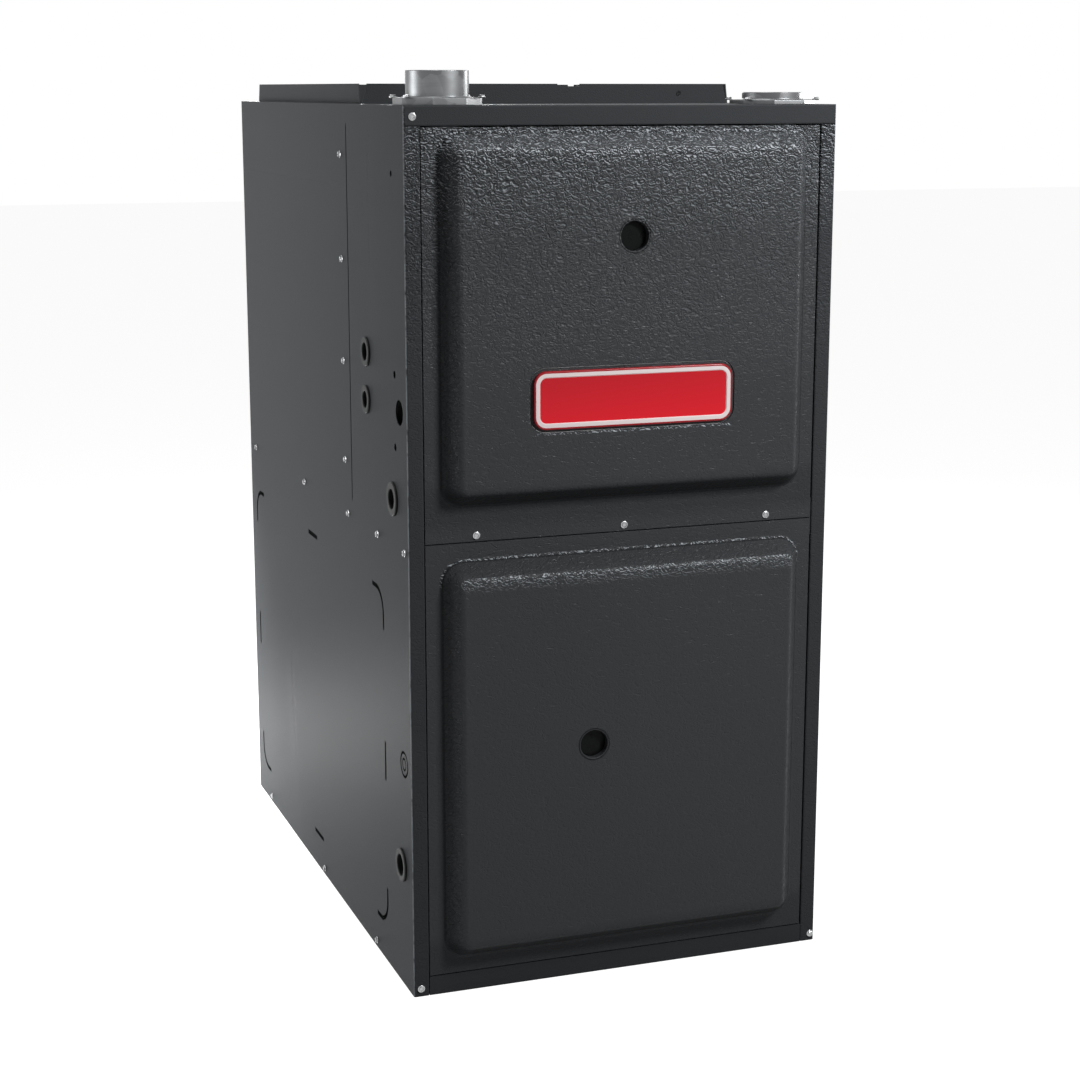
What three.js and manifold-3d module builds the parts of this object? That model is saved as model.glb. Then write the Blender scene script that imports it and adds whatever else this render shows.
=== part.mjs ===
// Upflow forced air gas furnace: a folded sheet cabinet with two lift-off doors, a burner and
// heat exchanger section above the blower deck and a centrifugal blower section below it.
// Millimetres. +X is to the right of a person facing the doors, +Y runs from the doors to the
// back and +Z is up. The origin is the bottom centre of the box that holds the whole furnace.

import * as THREE from 'three';
import { mergeVertices } from 'three/addons/utils/BufferGeometryUtils.js';
import Module from 'manifold-3d';

const wasm = await Module();
wasm.setup();

// ---------------------------------------------------------------- driving dimensions

// Cabinet
const WIDTH = 444.5;
const DEPTH = 711.2;
const HEIGHT = 876.3;
const SHEET = 1.2;
const FIT = 0.3;
const BEND = 1.5;
const STILE = 16;
const STILE_LIP = 14;
const TOP_RAIL = 19;
const BOTTOM_RAIL = 19.5;
const RAIL_LIP = 12;
const CORNER_FLANGE = 16;

// Doors
const DOOR_SIDE_GAP = 1.5;
const DOOR_END_GAP = 1.1;
const DOOR_RETURN = 13;
const SEAM_Z = 461.8;
const EMBOSS_DEPTH = 22;
const EMBOSS_SLOPE = 16;
const EMBOSS_SIDE = 31.5;
const EMBOSS_CORNER = 21;
const EMBOSS_FOOT = 4;
const EMBOSS_SHOULDER = 7;
const UPPER_EMBOSS_TOP = 851.9;
const UPPER_EMBOSS_BOTTOM = 496.6;
const LOWER_EMBOSS_TOP = 444.5;
const LOWER_EMBOSS_BOTTOM = 36.8;
const SIGHT_RADIUS = 14.4;
const SIGHT_DEPTH = 7;
const UPPER_SIGHT = [0, 753.6];
const LOWER_SIGHT = [-39, 252];
const LINER_PAD = 8;

// Plate on the upper door
const PLATE_WIDTH = 207;
const PLATE_HEIGHT = 56.5;
const PLATE_THICK = 4;
const PLATE_CORNER = 13;
const PLATE_CENTRE_Z = 599.6;
const PLATE_POCKET = 1;
const POCKET_MARGIN = 4.5;

// Supply opening and pipe collars in the top
const OPENING_SIDE = 19;
const OPENING_FRONT = 218;
const OPENING_BACK = DEPTH - 19.2;
const DUCT_FLANGE = 20;
const DUCT_MITRE = 5;
const COLLAR_INSET_X = 47.5;
const COLLAR_INSET_Y = 47.5;
const COLLAR_RADIUS = 30.15;
const COLLAR_WALL = 1.5;
const COLLAR_FLANGE = 46;
const VENT_RIM = 7;
const VENT_HEIGHT = 32;
const INTAKE_RIM = 4.5;
const INTAKE_HEIGHT = 11.6;
const COLLAR_DROP = 25;
const COLLAR_BEVEL = 1;

// Side wall
const CREASE_Y = 209;
const RETURN_Y = [94, DEPTH - 29.2];
const RETURN_Z = [41, 398];
const RETURN_CORNER = 26;
const RETURN_LEG = 14;
const RETURN_DASH = 40;
const SCORE_WIDTH = 1;
const PORT_PROUD = 2.5;

// Decks and partitions
const DECK_Z = 462;
const DECK_FLANGE = 19;
const RAIL_Z = [444, 482];
const RAIL_FLANGE = 22;
const VESTIBULE_Y = 209;
const VESTIBULE_FLANGE = 37;
const LINER = 6;

// Heat section
const BURNER_PITCH = 90;
const BURNER_Z = 754;
const CELL_RADIUS = 22.2;
const CELL_WALL = 1.2;
const CELL_BEND = 35;
const CELL_FRONT_BEND = 290;
const CELL_BACK_BEND = DEPTH - 121.2;
const COIL_HALF = 168;
const COIL_Z = [505, 565];
const COIL_FIN = 5;
const COIL_PITCH = 38;
const COIL_SHEET = 3;
const COLLECTOR_Y = [DEPTH - 111.2, DEPTH - 17.2];
const COLLECTOR_TOP = BURNER_Z - 4 * CELL_BEND + 36;
const HEADER_DEPTH = 18;
const BURNER_BOX = { half: 122, front: 118, bottom: BURNER_Z - 48, top: BURNER_Z + 48 };
const PROBE = { y: 190, z: BURNER_Z - 14, body: 6.5, hole: 3.5 };

// Inducer
const INDUCER = { x: -103, z: 548, front: 134, back: 190, near: 62, far: 84 };
const INDUCER_OUTLET_X = -158;
const SPIGOT_Z = [INDUCER.z + 74, INDUCER.z + 97];
const INDUCER_WHEEL = 54;
const VENT_PIPE_RADIUS = 28.3;
const VENT_PIPE_WALL = 2.3;
const VENT_RUN = 28;
const VENT_STRAIGHT = 50.3;
const VENT_STOP = 6;

// Gas train
const VALVE = { x: 8, y: 143, z: 633.5, half: 48, deep: 36, tall: 34 };
const GAS_PIPE = 10.7;
const MANIFOLD_Y = 92;

// Blower
const AXLE_Y = 380;
const AXLE_Z = 235;
const HOUSING_HALF = 118;
const SCROLL_NEAR = 140;
const SCROLL_FAR = 195;
const OUTLET_FRONT = -5;
const WHEEL_RADIUS = 127;
const BLADE_DEPTH = 20;
const WHEEL_HALF = 101;
const BLADES = 20;
const INLET_RADIUS = 103;
const MOTOR_RADIUS = 68;
const MOTOR_X = [32, 152];
const SHAFT = 6.35;

// Controls
const BOARD_Y = 186;
const BRACKET_Y = 195;
const SWITCH_X = 145;
const SWITCH_Z = 452.8;

// ---------------------------------------------------------------- derived planes

const LEFT = -WIDTH / 2;
const RIGHT = WIDTH / 2;
const FRONT = -(DEPTH - EMBOSS_DEPTH - PLATE_THICK + PLATE_POCKET) / 2;
const BACK = FRONT + DEPTH;
const TOP = HEIGHT;
const DOOR_HALF = WIDTH / 2 - STILE - DOOR_SIDE_GAP;
const RAIL_BOTTOM = TOP - TOP_RAIL;
const INSIDE = SHEET + FIT;
const BURNERS_X = [-BURNER_PITCH, 0, BURNER_PITCH];
const VESTIBULE = FRONT + VESTIBULE_Y;
const AXLE = FRONT + AXLE_Y;
const FACE = FRONT - EMBOSS_DEPTH;

// Ports in the left wall: distance from the front, height, hole radius, rim radius
const GAS_PORT = { y: 143, z: 633.5, hole: 12, rim: 15 };
const WIRE_PORT = { y: 144.4, z: 585, hole: 11.5, rim: 14.5 };
const SENSE_PORT = { y: 51.8, z: 499.5, hole: 13.5, rim: 17 };
const DRAIN_PORT = { y: 37.4, z: 127.6, hole: 13.5, rim: 17 };
const PLAIN_PORT = { y: 26, z: 587.7, hole: 12.7, rim: 0 };
const KNOCKOUT = { y: 25.4, z: 236.3, hole: 12.5, rim: 0 };
const PILOT_HOLES = [[44.2, 812.9, 3], [41, 622.7, 4], [41.4, 552, 4]];

// ---------------------------------------------------------------- solids

// A closed solid from a three.js geometry, its seams joined and its faces turned outward.
function solid(geometry) {
  const bare = new THREE.BufferGeometry();
  bare.setAttribute('position', geometry.getAttribute('position').clone());
  if (geometry.index) bare.setIndex(geometry.index.clone());
  const merged = mergeVertices(bare, 1e-4);
  const position = merged.getAttribute('position');
  const index = merged.index.array;
  const triangles = [];
  const a = new THREE.Vector3();
  const b = new THREE.Vector3();
  const c = new THREE.Vector3();
  let volume = 0;
  for (let i = 0; i < index.length; i += 3) {
    const [p, q, r] = [index[i], index[i + 1], index[i + 2]];
    if (p === q || q === r || r === p) continue;
    triangles.push(p, q, r);
    a.fromBufferAttribute(position, p);
    b.fromBufferAttribute(position, q);
    c.fromBufferAttribute(position, r);
    volume += a.dot(b.cross(c));
  }
  if (volume < 0) {
    for (let i = 0; i < triangles.length; i += 3) {
      [triangles[i], triangles[i + 1]] = [triangles[i + 1], triangles[i]];
    }
  }
  return new wasm.Manifold(new wasm.Mesh({
    numProp: 3,
    vertProperties: Float32Array.from(position.array),
    triVerts: Uint32Array.from(triangles),
  }));
}

const fuse = (first, ...rest) => rest.reduce((whole, part) => whole.add(part), first);
const cut = (first, ...tools) => tools.reduce((whole, tool) => whole.subtract(tool), first);

const polygon = (points) => new THREE.Shape(points.map(([u, v]) => new THREE.Vector2(u, v)));

function circle(u, v, radius, count = 12) {
  const points = [];
  for (let i = 0; i < count; i += 1) {
    const angle = (2 * Math.PI * i) / count;
    points.push([u + radius * Math.cos(angle), v + radius * Math.sin(angle)]);
  }
  return polygon(points);
}

// Corner points of a rounded rectangle, counter-clockwise.
function roundedPoints(u0, u1, v0, v1, radius, count = 2) {
  const centres = [
    [u1 - radius, v1 - radius, 0],
    [u0 + radius, v1 - radius, 1],
    [u0 + radius, v0 + radius, 2],
    [u1 - radius, v0 + radius, 3],
  ];
  const points = [];
  for (const [u, v, quarter] of centres) {
    for (let i = 0; i <= count; i += 1) {
      const angle = (Math.PI / 2) * (quarter + i / count);
      points.push([u + radius * Math.cos(angle), v + radius * Math.sin(angle)]);
    }
  }
  return points;
}

const rounded = (u0, u1, v0, v1, radius, count) =>
  polygon(roundedPoints(u0, u1, v0, v1, radius, count));

// A solid whose every vertex is moved by a rule, so that shared planes stay exactly shared.
function moved(geometry, rule) {
  const position = geometry.getAttribute('position');
  for (let i = 0; i < position.count; i += 1) {
    position.setXYZ(i, ...rule(position.getX(i), position.getY(i), position.getZ(i)));
  }
  return solid(geometry);
}

// A shape pushed along an axis. It is drawn in (y, z) for x, in (x, z) for y, in (x, y) for z.
function prism(shape, axis, from, to) {
  const geometry = new THREE.ExtrudeGeometry(shape, { depth: 1, bevelEnabled: false });
  const along = (w) => (w < 0.5 ? from : to);
  const rules = {
    x: (u, v, w) => [along(w), u, v],
    y: (u, v, w) => [u, along(w), v],
    z: (u, v, w) => [u, v, along(w)],
  };
  return moved(geometry, rules[axis]);
}

function block(x0, x1, y0, y1, z0, z1) {
  return moved(new THREE.BoxGeometry(1, 1, 1), (u, v, w) => [
    u < 0 ? x0 : x1,
    v < 0 ? y0 : y1,
    w < 0 ? z0 : z1,
  ]);
}

const rod = (axis, u, v, radius, from, to, count) =>
  prism(circle(u, v, radius, count), axis, from, to);

// A closed outline of [radius, height] points turned about an axis through a centre.
function turned(axis, centre, outline, count = 12) {
  const points = outline.map(([r, h]) => new THREE.Vector2(r, h));
  points.push(points[0].clone());
  const geometry = new THREE.LatheGeometry(points, count);
  if (axis === 'z') geometry.rotateX(Math.PI / 2);
  if (axis === 'x') geometry.rotateZ(-Math.PI / 2);
  return solid(geometry.translate(...centre));
}

// A skin over rings of equal point counts, closed by a flat cap at each end.
function loft(rings) {
  const count = rings[0].length;
  const vertices = rings.flat().flatMap((point) => point.toArray());
  const index = [];
  for (let ring = 0; ring + 1 < rings.length; ring += 1) {
    for (let i = 0; i < count; i += 1) {
      const a = ring * count + i;
      const b = ring * count + ((i + 1) % count);
      index.push(a, b, b + count, a, b + count, a + count);
    }
  }
  const last = (rings.length - 1) * count;
  for (let i = 1; i + 1 < count; i += 1) {
    index.push(0, i + 1, i);
    index.push(last, last + i, last + i + 1);
  }
  const geometry = new THREE.BufferGeometry();
  geometry.setAttribute('position', new THREE.Float32BufferAttribute(vertices, 3));
  geometry.setIndex(index);
  return solid(geometry);
}

// A round bar along a path that stays in one plane across X, given as [y, z, heading].
function bar(path, x, radius, count) {
  const rings = path.map(([y, z, heading]) => {
    const ring = [];
    for (let i = 0; i < count; i += 1) {
      const angle = (2 * Math.PI * i) / count;
      const side = radius * Math.sin(angle);
      ring.push(new THREE.Vector3(
        x + radius * Math.cos(angle),
        y - side * Math.sin(heading),
        z + side * Math.cos(heading),
      ));
    }
    return ring;
  });
  return loft(rings);
}

// Folded sheet seen on edge: square turns to the right of the walk, material on the right.
function folded(points, thickness = SHEET, bend = BEND, steps = 2) {
  const walk = points.map(([u, v]) => new THREE.Vector2(u, v));
  const rightOf = (i) => {
    const way = walk[i + 1].clone().sub(walk[i]).normalize();
    return new THREE.Vector2(way.y, -way.x);
  };
  const outer = [walk[0]];
  const inner = [walk[0].clone().addScaledVector(rightOf(0), thickness)];
  for (let i = 1; i + 1 < walk.length; i += 1) {
    const before = rightOf(i - 1);
    const after = rightOf(i);
    const centre = walk[i].clone().addScaledVector(before, bend).addScaledVector(after, bend);
    for (let step = 0; step <= steps; step += 1) {
      const angle = (Math.PI / 2) * (step / steps);
      const spoke = before.clone().multiplyScalar(Math.cos(angle));
      spoke.addScaledVector(after, Math.sin(angle));
      outer.push(centre.clone().addScaledVector(spoke, -bend));
      inner.push(centre.clone().addScaledVector(spoke, thickness - bend));
    }
  }
  const last = walk.length - 1;
  outer.push(walk[last]);
  inner.push(walk[last].clone().addScaledVector(rightOf(last - 1), thickness));
  return new THREE.Shape([...outer, ...inner.reverse()]);
}

// A band of even width along a walk of points.
function ribbon(points, width) {
  const walk = points.map(([u, v]) => new THREE.Vector2(u, v));
  const left = [];
  const right = [];
  walk.forEach((point, i) => {
    const before = walk[Math.max(i - 1, 0)];
    const after = walk[Math.min(i + 1, walk.length - 1)];
    const way = after.clone().sub(before).normalize();
    const side = new THREE.Vector2(-way.y, way.x).multiplyScalar(width / 2);
    left.push(point.clone().add(side));
    right.push(point.clone().sub(side));
  });
  return new THREE.Shape([...left, ...right.reverse()]);
}

// ---------------------------------------------------------------- cabinet

// Scored outline of the side return opening: four bent corners and four dashes.
function returnScores() {
  const [y0, y1] = RETURN_Y;
  const [z0, z1] = RETURN_Z;
  const scores = [];
  for (const [y, sy] of [[y0, 1], [y1, -1]]) {
    for (const [z, sz] of [[z0, 1], [z1, -1]]) {
      const walk = [[y, z + sz * (RETURN_CORNER + RETURN_LEG)]];
      for (let i = 0; i <= 2; i += 1) {
        const angle = (Math.PI / 2) * (i / 2);
        walk.push([
          y + sy * RETURN_CORNER * (1 - Math.cos(angle)),
          z + sz * RETURN_CORNER * (1 - Math.sin(angle)),
        ]);
      }
      walk.push([y + sy * (RETURN_CORNER + RETURN_LEG), z]);
      scores.push(walk);
    }
    const middle = (z0 + z1) / 2;
    scores.push([[y, middle - RETURN_DASH / 2], [y, middle + RETURN_DASH / 2]]);
  }
  for (const z of [z0, z1]) {
    const middle = (y0 + y1) / 2;
    scores.push([[middle - RETURN_DASH / 2, z], [middle + RETURN_DASH / 2, z]]);
  }
  return scores.map((walk) => ribbon(walk.map(([y, z]) => [FRONT + y, z]), SCORE_WIDTH));
}

function cabinetWrapper() {
  const plan = folded([
    [LEFT + STILE, FRONT + STILE_LIP],
    [LEFT + STILE, FRONT],
    [LEFT, FRONT],
    [LEFT, BACK],
    [RIGHT, BACK],
    [RIGHT, FRONT],
    [RIGHT - STILE, FRONT],
    [RIGHT - STILE, FRONT + STILE_LIP],
  ]);
  let shell = prism(plan, 'z', 0, HEIGHT);
  for (const side of [-1, 1]) {
    const wall = side * (WIDTH / 2);
    const [inner, outer] = [wall - side * (SHEET + 2), wall + side * 2];
    const through = [Math.min(inner, outer), Math.max(inner, outer)];
    const notch = [wall - side * SHEET, wall - side * (STILE + 2)].sort((p, q) => p - q);
    shell = cut(
      shell,
      block(notch[0], notch[1], FRONT - 1, FRONT + STILE_LIP + 1, RAIL_BOTTOM - FIT, TOP + 1),
    );
    for (const score of returnScores()) {
      shell = cut(shell, prism(score, 'x', ...through));
    }
    const skin = [wall - side * (SHEET / 3), wall + side * 1].sort((p, q) => p - q);
    shell = cut(
      shell,
      block(...skin, FRONT + CREASE_Y - 0.5, FRONT + CREASE_Y + 0.5, DECK_Z + 7, RAIL_BOTTOM),
    );
    const ring = circle(FRONT + KNOCKOUT.y, KNOCKOUT.z, KNOCKOUT.hole, 12);
    ring.holes.push(circle(FRONT + KNOCKOUT.y, KNOCKOUT.z, KNOCKOUT.hole - 1.2, 12));
    shell = cut(shell, prism(ring, 'x', ...skin));
    const ports = side < 0 ? [GAS_PORT, WIRE_PORT, SENSE_PORT, DRAIN_PORT, PLAIN_PORT] : [GAS_PORT];
    for (const port of ports) {
      shell = cut(shell, rod('x', FRONT + port.y, port.z, port.hole, ...through, 12));
    }
    for (const [y, z, radius] of side < 0 ? PILOT_HOLES : []) {
      shell = cut(shell, rod('x', FRONT + y, z, radius, ...through, 8));
    }
  }
  return shell;
}

// One upturned edge of the supply opening, its ends cut at a slant.
function ductFlange(axis, from, to, near, far) {
  const outline = polygon([
    [from, TOP - SHEET],
    [to, TOP - SHEET],
    [to, TOP],
    [to - DUCT_MITRE, TOP + DUCT_FLANGE],
    [from + DUCT_MITRE, TOP + DUCT_FLANGE],
    [from, TOP],
  ]);
  return prism(outline, axis, near, far);
}

function topPanel() {
  const [x0, x1] = [LEFT + INSIDE, RIGHT - INSIDE];
  const y1 = BACK - INSIDE;
  const [o0, o1] = [LEFT + OPENING_SIDE, RIGHT - OPENING_SIDE];
  const [f0, f1] = [FRONT + OPENING_FRONT, FRONT + OPENING_BACK];
  const sheet = prism(folded([
    [FRONT + RAIL_LIP, RAIL_BOTTOM],
    [FRONT, RAIL_BOTTOM],
    [FRONT, TOP],
    [y1, TOP],
    [y1, TOP - CORNER_FLANGE],
  ]), 'x', x0, x1);
  const edge = (from) => block(
    from,
    from + SHEET,
    FRONT + STILE_LIP,
    y1 - SHEET - FIT,
    TOP - CORNER_FLANGE,
    TOP - SHEET / 2,
  );
  let panel = fuse(sheet, edge(x0 + 0.1), edge(x1 - SHEET - 0.1));
  panel = cut(panel, block(o0, o1, f0, f1, TOP - 5, TOP + 5));
  panel = fuse(
    panel,
    ductFlange('y', o0 + 1, o1 - 1, f0 - SHEET, f0),
    ductFlange('y', o0 + 1, o1 - 1, f1, f1 + SHEET),
    ductFlange('x', f0 + 1, f1 - 1, o0 - SHEET, o0),
    ductFlange('x', f0 + 1, f1 - 1, o1, o1 + SHEET),
  );
  const notch = [21, TOP + DUCT_FLANGE - 2.5];
  return cut(
    panel,
    block(notch[0] - 12.5, notch[0] + 12.5, f0 - 3, f0 + 1, notch[1], notch[1] + 6),
    rod('y', 146, TOP + 10, 3, f0 - 3, f0 + 1, 12),
    ...[-1, 1].map((side) => rod(
      'z',
      side * (WIDTH / 2 - COLLAR_INSET_X),
      FRONT + COLLAR_INSET_Y,
      COLLAR_RADIUS + FIT,
      TOP - 5,
      TOP + 5,
      20,
    )),
  );
}

// Pipe collar on an eight-sided flange that stands on the top panel and drops through it.
function pipeCollar(x, rim, height) {
  const y = FRONT + COLLAR_INSET_Y;
  const ringAt = (inset, z) => {
    const points = [];
    for (let i = 0; i < 8; i += 1) {
      const angle = (Math.PI / 4) * (i + 0.5);
      const radius = COLLAR_FLANGE - inset;
      points.push(new THREE.Vector3(x + radius * Math.cos(angle), y + radius * Math.sin(angle), z));
    }
    return points;
  };
  const flange = loft([
    ringAt(0, TOP + FIT),
    ringAt(0, TOP + rim - COLLAR_BEVEL),
    ringAt(COLLAR_BEVEL, TOP + rim),
  ]);
  const tube = rod('z', x, y, COLLAR_RADIUS, TOP - COLLAR_DROP, TOP + height, 20);
  const bore = rod(
    'z',
    x,
    y,
    COLLAR_RADIUS - COLLAR_WALL,
    TOP - COLLAR_DROP - 1,
    TOP + height + 1,
    20,
  );
  return cut(fuse(flange, tube), bore);
}

function basePanel() {
  const [x0, x1] = [LEFT + INSIDE, RIGHT - INSIDE];
  const [y0, y1] = [FRONT + STILE_LIP + FIT, BACK - INSIDE];
  const lip = [LEFT + STILE + FIT, RIGHT - STILE - FIT];
  let pan = fuse(
    block(x0, x1, y0, y1, 0, SHEET),
    block(...lip, FRONT, FRONT + SHEET, 0, BOTTOM_RAIL),
    block(...lip, FRONT, FRONT + RAIL_LIP, BOTTOM_RAIL - SHEET, BOTTOM_RAIL),
    block(...lip, FRONT, y0 + 1, 0, SHEET),
    block(x0, x0 + SHEET, y0, y1, 0, CORNER_FLANGE),
    block(x1 - SHEET, x1, y0, y1, 0, CORNER_FLANGE),
    block(x0, x1, y1 - SHEET, y1, 0, CORNER_FLANGE),
  );
  for (const x of [-60, 60]) {
    pan = fuse(pan, block(x - 6, x + 6, FRONT + 80, BACK - 80, SHEET / 2, SHEET + 2));
  }
  return pan;
}

// Channel behind the seam of the doors. Both doors close against its web.
function centreRail() {
  const half = WIDTH / 2 - STILE - FIT;
  const y = FRONT + INSIDE;
  const rail = fuse(
    block(-half, half, y, y + SHEET, ...RAIL_Z),
    block(-half, half, y, y + RAIL_FLANGE, RAIL_Z[0], RAIL_Z[0] + SHEET),
    block(-half, half, y, y + RAIL_FLANGE, RAIL_Z[1] - SHEET, RAIL_Z[1]),
  );
  return cut(rail, rod('y', SWITCH_X, SWITCH_Z, 3.6, y - 1, y + 3, 12));
}

// Opening in the deck above the blower outlet: [x0, x1, y0, y1].
const OUTLET = [
  -HOUSING_HALF + SHEET,
  HOUSING_HALF - SHEET,
  AXLE + OUTLET_FRONT + SHEET,
  AXLE + SCROLL_FAR - SHEET,
];

function blowerDeck() {
  const [x0, x1] = [LEFT + INSIDE, RIGHT - INSIDE];
  const y0 = FRONT + INSIDE + SHEET + FIT;
  const y1 = BACK - INSIDE;
  const low = DECK_Z + SHEET - DECK_FLANGE;
  const deck = fuse(
    block(x0, x1, y0 + STILE_LIP, y1, DECK_Z, DECK_Z + SHEET),
    block(x0 + STILE, x1 - STILE, y0, y0 + STILE_LIP + 1, DECK_Z, DECK_Z + SHEET),
    block(x0, x0 + SHEET, y0 + STILE_LIP, y1, low, DECK_Z + SHEET),
    block(x1 - SHEET, x1, y0 + STILE_LIP, y1, low, DECK_Z + SHEET),
    block(x0, x1, y1 - SHEET, y1, low, DECK_Z + SHEET),
  );
  return cut(deck, block(...OUTLET, DECK_Z - 5, DECK_Z + 5));
}

function vestibulePanel() {
  const [x0, x1] = [LEFT + INSIDE, RIGHT - INSIDE];
  const [z0, z1] = [DECK_Z + SHEET + FIT, TOP - SHEET - FIT];
  const inset = SHEET + FIT;
  const high = TOP - CORNER_FLANGE - FIT;
  const panel = fuse(
    block(x0 + inset, x1 - inset, VESTIBULE, VESTIBULE + SHEET, z0, z1),
    block(x0, x0 + SHEET * 2, VESTIBULE, VESTIBULE + VESTIBULE_FLANGE, z0, high),
    block(x1 - SHEET * 2, x1, VESTIBULE, VESTIBULE + VESTIBULE_FLANGE, z0, high),
  );
  const ports = BURNERS_X.map((x) =>
    rod('y', x, BURNER_Z, CELL_RADIUS + 1, VESTIBULE - 2, VESTIBULE + 4));
  const coil = block(-COIL_HALF + 8, COIL_HALF - 8, VESTIBULE - 2, VESTIBULE + 4, 512, 558);
  const limit = rod('y', -60, 687, 7.4, VESTIBULE - 2, VESTIBULE + 4, 10);
  return cut(panel, ...ports, coil, limit);
}

// Foil faced lining of the heat exchanger compartment: two sides and the back.
function compartmentLiner() {
  const y = VESTIBULE + VESTIBULE_FLANGE + 1;
  const plan = folded([
    [LEFT + INSIDE, y],
    [LEFT + INSIDE, BACK - INSIDE],
    [RIGHT - INSIDE, BACK - INSIDE],
    [RIGHT - INSIDE, y],
  ], LINER, LINER + 1, 2);
  return prism(plan, 'z', DECK_Z + SHEET + FIT, TOP - CORNER_FLANGE - FIT);
}

// ---------------------------------------------------------------- doors

// Cross section of the pressed rim from the flat of the door to the raised face, as
// [inset, height] points: a rounded foot, a straight slope and a rounded shoulder. The depth
// below the outer skin gives the matching inner surface.
function embossProfile(below) {
  const slope = Math.atan2(EMBOSS_DEPTH, EMBOSS_SLOPE);
  const run = (radius) => radius * Math.tan(slope / 2);
  const points = [];
  for (const angle of [0, slope]) {
    const radius = EMBOSS_FOOT + below;
    points.push([
      radius * Math.sin(angle) - run(EMBOSS_FOOT),
      EMBOSS_FOOT - radius * Math.cos(angle),
    ]);
  }
  for (let i = 3; i >= 0; i -= 1) {
    const angle = slope * (i / 3);
    const radius = EMBOSS_SHOULDER - below;
    points.push([
      EMBOSS_SLOPE + run(EMBOSS_SHOULDER) - radius * Math.sin(angle),
      EMBOSS_DEPTH - EMBOSS_SHOULDER + radius * Math.cos(angle),
    ]);
  }
  return points;
}

function embossSolid(bottom, top, below) {
  const half = WIDTH / 2 - EMBOSS_SIDE;
  const ringAt = (inset, y) => {
    const radius = Math.max(EMBOSS_CORNER - inset * 0.65, 4);
    const points = roundedPoints(-half + inset, half - inset, bottom + inset, top - inset, radius, 3);
    return points.map(([x, z]) => new THREE.Vector3(x, y, z));
  };
  const profile = embossProfile(below);
  const rings = [ringAt(profile[0][0], FRONT + (below > 0 ? SHEET + 1 : SHEET))];
  for (const [inset, height] of profile) {
    rings.push(ringAt(inset, FRONT - height));
  }
  return loft(rings);
}

// Pressed door: flat border, raised field, side returns and a drawn sight hole.
function door(bottom, top, emboss, sight, returns, edge) {
  const x = DOOR_HALF;
  let skin = fuse(
    block(-x, x, FRONT, FRONT + SHEET, bottom, top),
    block(-x, -x + SHEET, FRONT, FRONT + DOOR_RETURN, ...returns),
    block(x - SHEET, x, FRONT, FRONT + DOOR_RETURN, ...returns),
    block(-x, x, FRONT, FRONT + RAIL_LIP, edge, edge + SHEET),
    embossSolid(...emboss, 0),
  );
  skin = cut(skin, embossSolid(...emboss, SHEET));
  const collar = rod('y', ...sight, SIGHT_RADIUS + SHEET, FACE + 0.6, FACE + SIGHT_DEPTH, 14);
  const hole = rod('y', ...sight, SIGHT_RADIUS, FACE - 1, FACE + SIGHT_DEPTH + 1, 14);
  return cut(fuse(skin, collar), hole);
}

function upperDoor() {
  const bottom = SEAM_Z + DOOR_END_GAP / 2;
  const top = RAIL_BOTTOM - DOOR_END_GAP;
  const returns = [RAIL_Z[1] + 2, top];
  const panel = door(
    bottom,
    top,
    [UPPER_EMBOSS_BOTTOM, UPPER_EMBOSS_TOP],
    UPPER_SIGHT,
    returns,
    top - SHEET,
  );
  const grow = (margin) => rounded(
    -PLATE_WIDTH / 2 - margin,
    PLATE_WIDTH / 2 + margin,
    PLATE_CENTRE_Z - PLATE_HEIGHT / 2 - margin,
    PLATE_CENTRE_Z + PLATE_HEIGHT / 2 + margin,
    PLATE_CORNER + margin,
  );
  const pad = prism(grow(POCKET_MARGIN + SHEET), 'y', FACE + 0.6, FACE + SHEET + PLATE_POCKET);
  const pocket = prism(grow(POCKET_MARGIN), 'y', FACE - 1, FACE + PLATE_POCKET);
  return cut(fuse(panel, pad), pocket);
}

function lowerDoor() {
  const bottom = BOTTOM_RAIL + DOOR_END_GAP;
  const top = SEAM_Z - DOOR_END_GAP / 2;
  const returns = [bottom, RAIL_Z[0] - 2];
  return door(
    bottom,
    top,
    [LOWER_EMBOSS_BOTTOM, LOWER_EMBOSS_TOP],
    LOWER_SIGHT,
    returns,
    bottom,
  );
}

// Foil faced pad inside the raised field of a door, open round the sight window.
function doorLiner(bottom, top, sight, clearance) {
  const margin = EMBOSS_SIDE + EMBOSS_SLOPE + 8;
  const half = WIDTH / 2 - margin;
  const inset = EMBOSS_SLOPE + 8;
  const back = FACE + SHEET + clearance + LINER_PAD;
  const pad = prism(
    rounded(-half, half, bottom + inset, top - inset, 6, 2),
    'y',
    FACE + SHEET + clearance,
    back,
  );
  return cut(pad, rod('y', ...sight, SIGHT_RADIUS + 6, FACE, back + 1, 12));
}

// Clear round window behind the drawn hole of a door.
function sightWindow(sight) {
  const y = FACE + SIGHT_DEPTH + FIT;
  return rod('y', ...sight, SIGHT_RADIUS + 4, y, y + 2, 16);
}

// Plain raised plate with a chamfered rim. It carries no marking.
function doorPlate() {
  const ringAt = (inset, y) => roundedPoints(
    -PLATE_WIDTH / 2 + inset,
    PLATE_WIDTH / 2 - inset,
    PLATE_CENTRE_Z - PLATE_HEIGHT / 2 + inset,
    PLATE_CENTRE_Z + PLATE_HEIGHT / 2 - inset,
    PLATE_CORNER - inset,
    3,
  ).map(([x, z]) => new THREE.Vector3(x, y, z));
  const back = FACE + PLATE_POCKET - FIT;
  const front = FACE + PLATE_POCKET - PLATE_THICK;
  return loft([
    ringAt(0, back),
    ringAt(0, front + 1.2),
    ringAt(1.2, front),
    ringAt(4.4, front),
    ringAt(5, front + 0.6),
  ]);
}

// ---------------------------------------------------------------- wall ports

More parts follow.
